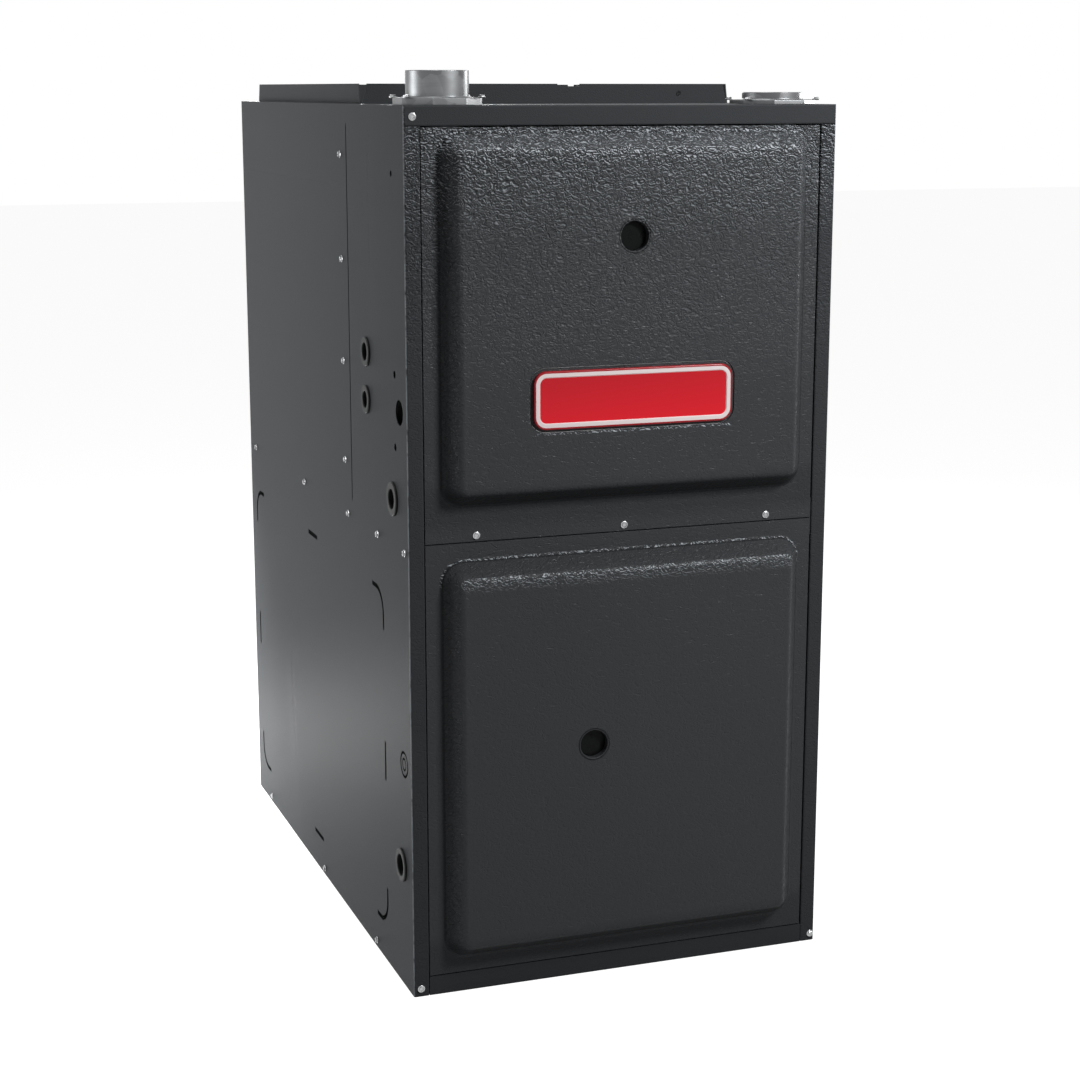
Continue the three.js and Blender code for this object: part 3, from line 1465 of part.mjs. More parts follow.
place('control_bracket', controlBracket(), zinc);
place('control_board', controlBoard(), green);
place('transformer', transformer(), brass);
place('junction_box', junctionBox(), zinc);
place('door_switch', doorSwitch(), black);
place('door_switch_plunger', switchPlunger(), white);

export default furnace;
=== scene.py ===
import math

import bmesh
import bpy
from mathutils import Matrix, Vector


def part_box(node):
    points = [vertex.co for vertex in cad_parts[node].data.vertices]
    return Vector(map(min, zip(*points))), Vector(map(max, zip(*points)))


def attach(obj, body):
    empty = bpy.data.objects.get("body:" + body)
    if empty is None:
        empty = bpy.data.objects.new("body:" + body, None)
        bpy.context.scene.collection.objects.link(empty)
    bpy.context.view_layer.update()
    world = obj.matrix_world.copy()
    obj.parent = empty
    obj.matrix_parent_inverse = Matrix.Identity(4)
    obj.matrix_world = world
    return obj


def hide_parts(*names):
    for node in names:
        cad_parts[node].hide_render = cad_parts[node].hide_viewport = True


bl_info = {
    "name": "Forced air gas furnace",
    "version": (1, 0, 0),
    "blender": (4, 5, 0),
    "location": "View3D > Sidebar > Furnace",
    "description": "Dresses a packed furnace with pressed doors, collars, screws and finishes",
    "category": "Object",
}

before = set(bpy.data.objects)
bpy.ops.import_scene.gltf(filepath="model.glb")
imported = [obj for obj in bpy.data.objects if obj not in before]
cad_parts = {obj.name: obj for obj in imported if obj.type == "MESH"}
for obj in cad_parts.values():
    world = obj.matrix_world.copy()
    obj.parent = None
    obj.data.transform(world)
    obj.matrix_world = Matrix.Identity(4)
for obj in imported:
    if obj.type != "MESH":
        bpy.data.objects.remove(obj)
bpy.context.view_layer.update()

CABINET_LOW, CABINET_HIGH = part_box("cabinet_wrapper")
LEFT, RIGHT = CABINET_LOW.x, CABINET_HIGH.x
FRONT, BACK = CABINET_LOW.y, CABINET_HIGH.y
TOP = CABINET_HIGH.z

# Scored outline of the return opening in each side wall: its span along Y and Z, its corner
# radius, how far each bend reaches from the outline's corner and half the length of each dash.
RETURN_Y = (FRONT + 0.094, FRONT + 0.682)
RETURN_Z = (0.041, 0.398)
RETURN_CORNER = 0.026
RETURN_BEND = 0.04
RETURN_DASH = 0.02

# Crease of each side wall, and the level seam that runs back from it.
CREASE_Y = FRONT + 0.209
CREASE_Z = (0.471, 0.855)
SEAM_Z = 0.794

# Knockout of each side wall: its middle along Y and Z, and the radii of its two rings.
KNOCKOUT = (FRONT + 0.0254, 0.2363)
KNOCKOUT_RINGS = (0.0122, 0.0058)

# Specular level of the smooth walls and of the textured doors.
WALL_SHINE = 0.007
DOOR_SHINE = 0.09


# ---------------------------------------------------------------- sizes and colours

class FurnaceSizes(bpy.types.PropertyGroup):
    """Sizes that a user can change, in metres."""

    sheet: bpy.props.FloatProperty(
        name="Sheet", description="Thickness of the cabinet's steel",
        default=0.0012, min=0.0005, unit="LENGTH")
    emboss_side: bpy.props.FloatProperty(
        name="Emboss side", description="From the cabinet's side to the foot of the raised field",
        default=0.0315, unit="LENGTH")
    emboss_depth: bpy.props.FloatProperty(
        name="Emboss depth", description="Height of the raised field above the door",
        default=0.022, unit="LENGTH")
    emboss_slope: bpy.props.FloatProperty(
        name="Emboss slope", description="Width of the sloping rim",
        default=0.016, unit="LENGTH")
    emboss_corner: bpy.props.FloatProperty(
        name="Emboss corner", description="Corner radius of the raised field's foot",
        default=0.024, unit="LENGTH")
    emboss_foot: bpy.props.FloatProperty(
        name="Foot radius", description="Fillet at the foot of the slope",
        default=0.004, unit="LENGTH")
    emboss_shoulder: bpy.props.FloatProperty(
        name="Shoulder radius", description="Fillet at the top of the slope",
        default=0.007, unit="LENGTH")
    upper_field: bpy.props.FloatVectorProperty(
        name="Upper field", description="Bottom and top of the upper raised field",
        size=2, default=(0.4966, 0.8519), unit="LENGTH")
    lower_field: bpy.props.FloatVectorProperty(
        name="Lower field", description="Bottom and top of the lower raised field",
        size=2, default=(0.0368, 0.4445), unit="LENGTH")
    upper_sight: bpy.props.FloatVectorProperty(
        name="Upper sight hole", description="X and Z of the upper door's hole",
        size=2, default=(0.0, 0.7536), unit="LENGTH")
    lower_sight: bpy.props.FloatVectorProperty(
        name="Lower sight hole", description="X and Z of the lower door's hole",
        size=2, default=(-0.039, 0.252), unit="LENGTH")
    sight_radius: bpy.props.FloatProperty(
        name="Sight radius", description="Radius of the sight holes",
        default=0.0144, unit="LENGTH")
    plate_border: bpy.props.FloatProperty(
        name="Plate border", description="Width of the pale band round the door plate",
        default=0.0043, unit="LENGTH")
    collar_radius: bpy.props.FloatProperty(
        name="Collar radius", description="Outer radius of the two pipe collars",
        default=0.03015, unit="LENGTH")
    screw_radius: bpy.props.FloatProperty(
        name="Screw washer radius", description="Radius of a screw's washer face",
        default=0.0037, unit="LENGTH")


class FurnaceColours(bpy.types.PropertyGroup):
    """Colours that a user can change."""

    paint: bpy.props.FloatVectorProperty(
        name="Paint", description="Charcoal of the cabinet",
        subtype="COLOR", size=3, default=(0.048, 0.0512, 0.055), min=0, max=1)
    plate: bpy.props.FloatVectorProperty(
        name="Plate", description="Red of the door plate",
        subtype="COLOR", size=3, default=(0.7, 0.006, 0.018), min=0, max=1)
    border: bpy.props.FloatVectorProperty(
        name="Plate border", description="Pale band of the door plate",
        subtype="COLOR", size=3, default=(0.88, 0.78, 0.78), min=0, max=1)
    zinc: bpy.props.FloatVectorProperty(
        name="Zinc", description="Galvanised sheet",
        subtype="COLOR", size=3, default=(0.15, 0.155, 0.159), min=0, max=1)
    steel: bpy.props.FloatVectorProperty(
        name="Tube steel", description="Aluminised tubes of the heat exchanger",
        subtype="COLOR", size=3, default=(0.4, 0.41, 0.42), min=0, max=1)
    plastic: bpy.props.FloatVectorProperty(
        name="Black plastic", description="Bushings, housings and rubber",
        subtype="COLOR", size=3, default=(0.012, 0.0125, 0.013), min=0, max=1)
    floor: bpy.props.FloatVectorProperty(
        name="Floor", description="Floor of the studio",
        subtype="COLOR", size=3, default=(0.36, 0.36, 0.36), min=0, max=1)


def sizes():
    """The sizes that the scene holds."""
    return bpy.context.scene.furnace_sizes


def colours():
    """The colours that the scene holds."""
    return bpy.context.scene.furnace_colours


# ---------------------------------------------------------------- shader writing

class Value:
    """A socket of a material, with arithmetic that adds its Math nodes."""

    def __init__(self, shader, socket):
        self.shader = shader
        self.socket = socket

    def maths(self, operation, *others, clamp=False):
        settings = {"operation": operation, "use_clamp": clamp}
        node = self.shader.add("ShaderNodeMath", settings, {0: self, **dict(enumerate(others, 1))})
        return Value(self.shader, node.outputs[0])

    def reflected(self, operation, first):
        node = self.shader.add("ShaderNodeMath", {"operation": operation}, {0: first, 1: self})
        return Value(self.shader, node.outputs[0])

    def __add__(self, other):
        return self.maths("ADD", other)

    __radd__ = __add__

    def __sub__(self, other):
        return self.maths("SUBTRACT", other)

    def __rsub__(self, other):
        return self.reflected("SUBTRACT", other)

    def __mul__(self, other):
        return self.maths("MULTIPLY", other)

    __rmul__ = __mul__

    def __truediv__(self, other):
        return self.maths("DIVIDE", other)

    def size(self):
        return self.maths("ABSOLUTE")

    def least(self, other):
        return self.maths("MINIMUM", other)

    def most(self, other):
        return self.maths("MAXIMUM", other)

    def above(self, edge, soft):
        """0 below the edge and 1 above it, over a soft width."""
        return ((self - edge) / soft + 0.5).maths("ADD", 0.0, clamp=True)


class Nodes:
    """A node tree and the one way nodes are added to it."""

    def __init__(self, owner):
        owner.use_nodes = True
        self.tree = owner.node_tree

    def add(self, kind, settings=None, inputs=None):
        node = self.tree.nodes.new(kind)
        for key, value in (settings or {}).items():
            if key == "stops":
                while len(node.color_ramp.elements) < len(value):
                    node.color_ramp.elements.new(0.5)
                for element, (position, colour) in zip(node.color_ramp.elements, value):
                    element.position = position
                    element.color = (*colour, 1.0)
            else:
                setattr(node, key, value)
        for key, value in (inputs or {}).items():
            if isinstance(value, Value):
                self.tree.links.new(value.socket, node.inputs[key])
            else:
                node.inputs[key].default_value = value
        return node

    def seen(self):
        """1 for rays that the camera, a reflection or a clear piece sends out."""
        path = self.add("ShaderNodeLightPath")
        kinds = ("Camera", "Glossy", "Transmission")
        camera, glossy, clear = (Value(self, path.outputs[f"Is {kind} Ray"]) for kind in kinds)
        return camera.most(glossy).most(clear)


class Shader(Nodes):
    """One procedural material: a Principled surface and the nodes that feed it."""

    def __init__(self, name, **constants):
        self.material = bpy.data.materials.new(name)
        super().__init__(self.material)
        self.surface = self.tree.nodes["Principled BSDF"]
        for socket, value in constants.items():
            self.surface.inputs[socket.replace("_", " ")].default_value = value
        coordinates = self.add("ShaderNodeTexCoord")
        self.place = Value(self, coordinates.outputs["Object"])

    def feed(self, socket, value):
        self.tree.links.new(value.socket, self.surface.inputs[socket])

    def stretched(self, x, y, z):
        node = self.add("ShaderNodeMapping", None, {0: self.place, "Scale": (x, y, z)})
        return Value(self, node.outputs[0])

    def noise(self, scale, detail=2.0, rough=0.5, twist=0.0, place=None, colour=False):
        node = self.add("ShaderNodeTexNoise", None, {
            "Vector": place or self.place, "Scale": scale, "Detail": detail,
            "Roughness": rough, "Distortion": twist})
        return Value(self, node.outputs["Color" if colour else "Fac"])

    def cells(self, scale, feature="F1", output="Distance", place=None, jitter=1.0):
        node = self.add("ShaderNodeTexVoronoi", {"feature": feature}, {
            "Vector": place or self.place, "Scale": scale, "Randomness": jitter})
        return Value(self, node.outputs[output])

    def axis(self, letter):
        node = self.add("ShaderNodeSeparateXYZ", None, {0: self.place})
        return Value(self, node.outputs["XYZ".index(letter)])

    def shifted(self, amount, by, place=None):
        """Coordinates pushed about by a colour noise, for wandering patterns."""
        push = self.add("ShaderNodeVectorMath", {"operation": "SUBTRACT"}, {
            0: self.noise(by, 2.0, colour=True), 1: (0.5, 0.5, 0.5)})
        grown = self.add("ShaderNodeVectorMath", {"operation": "SCALE"}, {
            0: Value(self, push.outputs[0]), "Scale": amount})
        return self.moved(place or self.place, Value(self, grown.outputs[0]))

    def moved(self, place, by):
        """Coordinates with a vector added to them."""
        node = self.add("ShaderNodeVectorMath", {"operation": "ADD"}, {0: place, 1: by})
        return Value(self, node.outputs[0])

    def ramp(self, value, *stops):
        node = self.add("ShaderNodeValToRGB", {"stops": stops}, {0: value})
        return Value(self, node.outputs[0])

    def blend(self, mask, first, second):
        """A colour that goes from the first to the second with the mask."""
        full = [c if isinstance(c, Value) else (*c, 1.0) for c in (first, second)]
        node = self.add("ShaderNodeMix", {"data_type": "RGBA"}, {0: mask, 6: full[0], 7: full[1]})
        return Value(self, node.outputs[2])

    def bump(self, height, strength, distance):
        node = self.add("ShaderNodeBump", None, {
            "Height": height, "Strength": strength, "Distance": distance})
        self.feed("Normal", Value(self, node.outputs[0]))

    def dressed(self, colour, rough, height, strength, distance=0.0003):
        """Feeds colour, roughness and relief, and returns the material."""
        self.feed("Base Color", colour)
        self.feed("Roughness", rough)
        self.bump(height, strength, distance)
        return self.material


def shade(colour, factor):
    """A colour made lighter or darker."""
    return tuple(min(channel * factor, 1.0) for channel in colour)


# ---------------------------------------------------------------- finishes

def smooth_paint():
    """Factory painted sheet: even charcoal, a fine spray grain and faint handling marks."""
    s = Shader("charcoal paint, smooth", Specular_IOR_Level=WALL_SHINE)
    return spray(s, s.noise(900.0, 2.0) * 0.25)


def spray(s, height, grooves_and_shade=None, painted_highlight=None):
    """Colour, roughness and relief that all the painted sheets share; where masks are given, it
    darkens colour as painted shade and lightens it as painted highlights.
    """
    tone = tuple(colours().paint)
    cloud = s.noise(3.0, 3.0)
    grain = s.noise(800.0, 2.0)
    rubs = s.noise(5.0, 4.0, 0.65, 0.6, s.stretched(1.0, 1.0, 0.16)).above(0.63, 0.12)
    colour = s.blend(cloud, shade(tone, 0.93), shade(tone, 1.08))
    colour = s.blend(rubs * 0.1, colour, shade(tone, 1.35))
    rough = 0.24 + cloud * 0.06 + grain * 0.05 - rubs * 0.03
    # Painted shade: colour darkened to a twentieth in grooves, at the fields' foot and on their
    # lower rims.
    if grooves_and_shade:
        colour = s.blend(grooves_and_shade, colour, shade(tone, 0.05))
        rough = rough + grooves_and_shade * 0.6
    # Painted highlight: colour lightened ninefold on up-facing ridge sides, along rim lines and
    # down the front corner.
    if painted_highlight:
        colour = s.blend(painted_highlight, colour, shade(tone, 9.0))
    return s.dressed(colour, rough, height, 1.0, 0.0018)


def wrinkles(s):
    """Relief of the textured paint, bolder towards the top, and a mask of painted highlights on
    up-facing ridge sides.
    """
    wander = s.shifted(0.01, 60.0, s.stretched(1.0, 1.0, 1.5))
    ridges = winding_ridges(s, wander)
    above = winding_ridges(s, s.moved(wander, (0.0004, 0.0, 0.0012)))
    pebbles = 1.0 - s.cells(300.0, "SMOOTH_F1", place=wander)
    patch = s.noise(14.0, 3.0, 0.6).above(0.5, 0.3)
    height = s.axis("Z")
    rise = height.above(0.76, 0.3)
    rims = line(s.axis("Y") - (FRONT - sizes().emboss_depth / 2), sizes().emboss_depth * 0.95)
    bold = 0.06 + rims * 0.3 + rise * (0.55 + patch * 0.6)
    relief = ridges * bold + pebbles * (0.06 + rise * 0.2) + s.noise(1300.0, 1.0) * 0.02
    # Painted highlight: ridge sides that face up get lighter colour, most at the top, in patches
    # and along the rims' highlight lines.
    painted_glint = (ridges - above).above(0.22, 0.3) * (0.5 + pebbles * 0.5)
    top = height.above(0.8, 0.1)
    share = rise * (0.1 + patch * 0.35) + top * 0.75 + painted_rim_highlights(s) * 1.5
    return relief, (painted_glint * share).least(1.0)


def press_line_shade(s):
    """Painted shade in the foot of the raised fields, and along their lower rims."""
    depth = s.axis("Y") - FRONT
    foot = line(depth + 0.0016, 0.0024)
    rim = line(depth + sizes().emboss_depth / 2, sizes().emboss_depth * 0.9)
    return (foot * 0.5).most(rim * by_rims(s, 0, 0.04) * 0.75)


def painted_rim_highlights(s):
    """Painted highlight lines along the shoulder and foot of the raised fields' upper rims, and a
    painted highlight line under the door plate.
    """
    depth = s.axis("Y") - FRONT
    lines = line(depth + sizes().emboss_depth - 0.001, 0.0024).most(line(depth + 0.0008, 0.0012))
    plate_low, plate_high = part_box("door_plate")
    under = line(s.axis("Z") - plate_low.z + 0.0042, 0.0024)
    under = under * (1.0 - s.axis("X").size().above(plate_high.x, 0.003))
    return (lines * by_rims(s, 1, 0.044)).most(under)


def by_rims(s, end, width):
    """1 along the lower (end 0) or upper (end 1) rims of the two raised fields."""
    fields = (sizes().upper_field, sizes().lower_field)
    upper, lower = (line(s.axis("Z") - field[end], width) for field in fields)
    return upper.most(lower)


def winding_ridges(s, place):
    """1 on the crests of a winding pattern, 0 between them."""
    return 1.0 - ((s.noise(185.0, 1.5, 0.5, 0.9, place) - 0.5).size() * 4.0).least(1.0)


def wrinkle_paint():
    """Textured paint of the doors, with painted shade at the fields' foot and lower rims and
    painted highlights on up-facing ridge sides.
    """
    s = Shader("charcoal paint, wrinkled", Specular_IOR_Level=DOOR_SHINE)
    relief, painted_glint = wrinkles(s)
    return spray(s, relief, press_line_shade(s), painted_glint)


def line(distance, width):
    """1 within a soft line of that width, from the distance to its middle."""
    return 1.0 - distance.size().above(width / 2, width / 3)


def off_middle(along, span):
    """Distance from the middle of a span, and how far past its corner's centre that is."""
    low, high = span
    off = (along - (low + high) / 2).size()
    return off, off - ((high - low) / 2 - RETURN_CORNER)


def rounded_edge(past_one, past_other):
    """Distance from the corner's centre of a rounded rectangle, equal all along its outline."""
    far = past_one.most(0.0).maths("POWER", 2.0) + past_other.most(0.0).maths("POWER", 2.0)
    return far.maths("SQRT") + past_one.most(past_other).least(0.0)


def shaded_wall_grooves(s):
    """Scored outline, crease and knockout of the two side walls, drawn over the solid's cuts; the
    mask sinks them as relief and darkens them as painted shade.
    """
    y, z = s.axis("Y"), s.axis("Z")
    off_y, past_y = off_middle(y, RETURN_Y)
    off_z, past_z = off_middle(z, RETURN_Z)
    outline = rounded_edge(past_y, past_z) - RETURN_CORNER
    bend = RETURN_CORNER - RETURN_BEND
    bends = past_y.above(bend, 0.003) * past_z.above(bend, 0.003)
    dashes = (1.0 - off_y.above(RETURN_DASH, 0.003)).most(1.0 - off_z.above(RETURN_DASH, 0.003))
    scores = line(outline, 0.0042) * bends.most(dashes)
    foot, head = CREASE_Z
    crease = line(y - CREASE_Y, 0.0022) * z.above(foot, 0.004) * (1.0 - z.above(head, 0.004))
    out_y, out_z = y - KNOCKOUT[0], z - KNOCKOUT[1]
    spoke = (out_y * out_y + out_z * out_z).maths("SQRT")
    outer, inner = KNOCKOUT_RINGS
    knockout = line(spoke - outer, 0.0024).most(line(spoke - inner, 0.002))
    on_wall = s.axis("X").size().above(RIGHT - 0.0007, 0.0004)
    return scores.most(crease).most(knockout) * on_wall


def cabinet_paint():
    """Cabinet sheet: smooth sides with their marks darkened as painted shade, and textured front
    strips with painted highlights.
    """
    s = Shader("charcoal paint, cabinet", Specular_IOR_Level=WALL_SHINE)
    front = 1.0 - s.axis("Y").above(FRONT + 0.002, 0.001)
    grooves_and_shade = shaded_wall_grooves(s)
    seam = line(s.axis("Z") - SEAM_Z, 0.0016) * s.axis("Y").above(CREASE_Y + 0.06, 0.02)
    relief, painted_glint = wrinkles(s)
    height = relief * front - grooves_and_shade * 1.4 - seam * 0.12 + s.noise(900.0, 2.0) * 0.1
    # Painted highlight: a broken lighter line down the front left corner, where its bend would
    # catch light.
    corner = line(s.axis("X") - LEFT, 0.0016) * front * s.noise(90.0, 3.0).above(0.4, 0.2)
    return spray(s, height, grooves_and_shade, (painted_glint * front).most(corner * 0.4))


def galvanised():
    """Zinc coated sheet with its spangle and a rolled grain."""
    zinc = tuple(colours().zinc)
    s = Shader("galvanised sheet", Metallic=1.0)
    place = s.shifted(0.004, 60.0)
    spangle = s.cells(70.0, "F1", "Color", place)
    facet = s.add("ShaderNodeSeparateColor", None, {0: spangle})
    tilt = Value(s, facet.outputs[0])
    streak = s.noise(40.0, 3.0, 0.6, 0.0, s.stretched(1.0, 1.0, 12.0))
    tone = s.blend(tilt, shade(zinc, 0.82), shade(zinc, 1.12))
    colour = s.blend(streak.above(0.62, 0.3) * 0.3, tone, shade(zinc, 0.7))
    skin = tilt * 0.4 + s.noise(700.0, 2.0) * 0.4
    return s.dressed(colour, 0.26 + tilt * 0.14 + streak * 0.08, skin, 0.1, 0.0004)


def bright_zinc():
    """Plated screws: clean zinc with fine turning marks."""
    s = Shader("plated screw", Metallic=1.0)
    mark = s.noise(1800.0, 2.0, 0.6)
    colour = s.blend(mark, (0.26, 0.265, 0.27), (0.52, 0.525, 0.53))
    return s.dressed(colour, 0.2 + mark * 0.14, mark, 0.15, 0.0002)


def tube_steel():
    """Aluminised tube and pressed steel with a heat stained bloom."""
    steel = tuple(colours().steel)
    s = Shader("aluminised steel", Metallic=1.0)
    bloom = s.noise(14.0, 4.0, 0.6, 0.4)
    grain = s.noise(500.0, 2.0)
    warm = s.ramp(bloom, (0.35, steel), (0.55, (0.42, 0.38, 0.31)), (0.72, (0.3, 0.31, 0.36)))
    colour = s.blend(grain * 0.5, warm, shade(steel, 1.2))
    return s.dressed(colour, 0.34 + bloom * 0.2 + grain * 0.06, grain, 0.14)


def foil():
    """Crinkled foil facing of the insulation, with its reinforcing scrim."""
    s = Shader("foil facing", Metallic=1.0)
    crease = s.cells(46.0, "DISTANCE_TO_EDGE", place=s.shifted(0.02, 22.0)).least(0.2) * 5.0
    fine = s.noise(240.0, 4.0, 0.6, 0.8)
    squares = s.cells(80.0, "DISTANCE_TO_EDGE", jitter=0.0).least(0.06) * 16.0
    colour = s.blend(fine, (0.6, 0.61, 0.62), (0.8, 0.81, 0.82))
    skin = crease * 0.6 + fine * 0.5 + squares * 0.25
    return s.dressed(colour, 0.24 + fine * 0.22, skin, 0.4, 0.0009)


def fins():
    """Stack of thin fins seen edge on, with the gaps between them painted dark as shade."""
    s = Shader("finned coil", Metallic=1.0)
    comb = (s.axis("Y") * 2200.0).maths("SINE").above(0.0, 0.8)
    haze = s.noise(30.0, 3.0)
    # Painted shade: dark between the fins, light on their edges.
    colour = s.blend(comb, (0.16, 0.165, 0.17), (0.62, 0.63, 0.64))
    return s.dressed(colour, 0.35 + haze * 0.2, comb, 0.5, 0.0006)


def cast_alloy():
    """Die cast body with a sand-like skin."""
    s = Shader("die casting", Metallic=0.85)
    skin = s.noise(650.0, 3.0, 0.6)
    cloud = s.noise(24.0, 2.0)
    colour = s.blend(cloud, (0.34, 0.35, 0.36), (0.48, 0.49, 0.5))
    return s.dressed(colour, 0.45 + skin * 0.18, skin, 0.35, 0.0005)


def copper_winding():
    """Varnished winding: fine parallel turns between the core's laminations, with painted shade
    between the turns.
    """
    s = Shader("winding and core", Metallic=0.75)
    turns = (s.axis("Z") * 5200.0).maths("SINE").above(0.0, 1.2)
    stain = s.noise(40.0, 3.0)
    # Painted shade: darker copper in the grooves between turns, lighter on the turns.
    colour = s.blend(turns, (0.22, 0.12, 0.05), (0.58, 0.36, 0.15))
    return s.dressed(colour, 0.3 + stain * 0.2, turns, 0.4, 0.0004)


def black_plastic():
    """Moulded black plastic with a fine spark grain and scuffed high spots."""
    plastic = tuple(colours().plastic)
    s = Shader("black moulding", Specular_IOR_Level=0.15)
    grain = s.noise(1100.0, 2.0, 0.6)
    scuff = s.noise(60.0, 4.0, 0.7).above(0.64, 0.2)
    colour = s.blend(scuff * 0.4, plastic, shade(plastic, 2.6))
    return s.dressed(colour, 0.38 + grain * 0.16 + scuff * 0.08, grain, 0.22)


def satin_black():
    """Black painted motor shells and pipework: satin coat with dust in the hollows."""
    s = Shader("satin black coat", Specular_IOR_Level=0.45)
    grain = s.noise(800.0, 2.0)
    dust = s.noise(30.0, 4.0, 0.65).above(0.55, 0.3)
    colour = s.blend(dust * 0.5, (0.016, 0.017, 0.018), (0.05, 0.048, 0.045))
    return s.dressed(colour, 0.34 + grain * 0.08 + dust * 0.2, grain, 0.16)


def pale_plastic():
    """White pipe, ceramic and button plastic, slightly mottled."""
    s = Shader("white moulding", Specular_IOR_Level=0.5)
    mottle = s.noise(22.0, 3.0)
    grain = s.noise(900.0, 2.0)
    colour = s.blend(mottle, (0.64, 0.63, 0.59), (0.74, 0.73, 0.7))
    return s.dressed(colour, 0.3 + mottle * 0.1 + grain * 0.05, grain, 0.1)


def circuit_board():
    """Green board with a grid of tracks and pads, and moulded parts standing on it."""
    s = Shader("circuit board", Specular_IOR_Level=0.5)
    low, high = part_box("control_board")
    face = low.y + 0.0155
    tracks = s.cells(150.0, "DISTANCE_TO_EDGE", jitter=0.55).above(0.1, 0.05)
    pads = 1.0 - s.cells(260.0, "F1", jitter=0.1).above(0.26, 0.05)
    green = s.blend(tracks, (0.03, 0.17, 0.06), (0.012, 0.08, 0.032))
    green = s.blend(pads * 0.8, green, (0.55, 0.55, 0.5))
    up = s.axis("Z") - low.z
    relay = s.blend(s.noise(900.0), (0.012, 0.012, 0.013), (0.03, 0.03, 0.032))
    header = s.blend(s.noise(900.0), (0.6, 0.58, 0.52), (0.7, 0.69, 0.64))
    moulded = s.blend(up.above((high.z - low.z) * 0.62, 0.001), header, relay)
    colour = s.blend(1.0 - s.axis("Y").above(face, 0.0006), green, moulded)
    return s.dressed(colour, 0.3 + tracks * 0.12, tracks + pads, 0.2, 0.0002)


def plate_enamel():
    """Gloss enamel of the door plate: red field and rim with a pale raised band between; painted
    shade darkens the rim, the sides and the top of the field.
    """
    red, pale = tuple(colours().plate), tuple(colours().border)
    low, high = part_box("door_plate")
    centre, half = (low + high) / 2, (high - low) / 2
    rim, band = 0.0021, sizes().plate_border
    s = Shader("plate enamel", Specular_IOR_Level=0.25, Coat_Roughness=0.06)
    across = (s.axis("X") - centre.x).size() - (half.x - PLATE_CORNER)
    up = (s.axis("Z") - centre.z).size() - (half.z - PLATE_CORNER)
    inside = PLATE_CORNER - rounded_edge(across, up)
    white = inside.above(rim, 0.0003) * (1.0 - inside.above(rim + band, 0.0003))
    front = 1.0 - s.axis("Y").above(low.y + 0.0016, 0.0004)
    flake = s.noise(300.0, 2.0)
    # Painted shade: the red field darker at its top and lighter at its bottom.
    lower = 1.0 - s.axis("Z").above(centre.z, half.z * 2)
    field = s.blend(lower, shade(red, 0.8), shade(red, 1.2))
    # Painted shade: the rim and the plate's sides darkened to half the red.
    edge = 1.0 - inside.above(rim, 0.0003) * front
    field = s.blend(edge, field, shade(red, 0.5))
    s.feed("Coat Weight", 0.04 + flake * 0.06)
    return s.dressed(s.blend(white * front, field, pale), 0.2 + flake * 0.08, flake, 0.04)


def red_plastic():
    """Red knob and button with a moulded grain."""
    red = tuple(colours().plate)
    s = Shader("red moulding", Specular_IOR_Level=0.5)
    grain = s.noise(1200.0, 2.0)
    colour = s.blend(grain, shade(red, 0.75), shade(red, 1.05))
    return s.dressed(colour, 0.32 + grain * 0.12, grain, 0.15, 0.0002)


def sight_glass():
    """Smoky sight window, dusty towards its rim."""
    s = Shader("sight window", IOR=1.5, Specular_IOR_Level=0.05)
    dust = s.noise(120.0, 4.0, 0.6)
    s.feed("Base Color", s.blend(dust, (0.005, 0.006, 0.006), (0.009, 0.0095, 0.0095)))
    s.feed("Roughness", 0.24 + dust * 0.1)
    s.feed("Alpha", 0.95 + dust * 0.04)
    return s.material


# The solids that each finish goes on.
FINISHES = {
    cabinet_paint: ["cabinet_wrapper"],
    smooth_paint: ["top_panel", "base_panel", "centre_rail"],
    wrinkle_paint: ["upper_door", "lower_door"],
    galvanised: [
        "blower_deck", "vestibule_panel", "vent_collar", "intake_collar", "burner_box",
        "inducer_rotor", "blower_housing", "blower_wheel", "motor_mount", "blower_rail_left",
        "blower_rail_right", "control_bracket", "junction_box"],
    tube_steel: [
        "heat_exchanger_cell_1", "heat_exchanger_cell_2", "heat_exchanger_cell_3",
        "collector_box", "burner_1", "burner_2", "burner_3"],
    foil: ["compartment_liner", "upper_door_liner", "lower_door_liner"],
    fins: ["secondary_coil"],
    cast_alloy: ["gas_valve"],
    copper_winding: ["transformer"],
    satin_black: ["gas_manifold", "blower_motor", "inducer_motor"],
    black_plastic: [
        "gas_port_bushing", "wire_port_bushing", "sense_port_bushing", "drain_port_grommet",
        "gas_port_plug", "coil_header", "condensate_trap", "rollout_switch", "limit_switch",
        "pressure_switch", "inducer_housing", "vent_coupling", "door_switch"],
    pale_plastic: ["igniter", "flame_sensor", "vent_pipe", "door_switch_plunger"],
    circuit_board: ["control_board"],
    red_plastic: ["gas_valve_knob", "rollout_reset_button"],
    plate_enamel: ["door_plate"],
    sight_glass: ["upper_sight_window", "lower_sight_window"],
}
MADE = {}


def paint(obj, finish):
    """Gives an object a finish, whose material is made the first time it is asked for."""
    if finish not in MADE:
        MADE[finish] = finish()
    obj.data.materials.clear()
    obj.data.materials.append(MADE[finish])
    for polygon in obj.data.polygons:
        polygon.material_index = 0


# ---------------------------------------------------------------- modelling helpers

def clear_selection():
    """Leaves edit mode and deselects everything."""
    if bpy.context.object and bpy.context.object.mode != "OBJECT":
        bpy.ops.object.mode_set(mode="OBJECT")
    bpy.ops.object.select_all(action="DESELECT")


def only(obj):
    """Makes an object the active and only selected one."""
    clear_selection()
    obj.select_set(True)
    bpy.context.view_layer.objects.active = obj


def settle(obj):
    """Puts an object's place, turn and scale into its mesh."""
    only(obj)
    bpy.ops.object.transform_apply(location=True, rotation=True, scale=True)


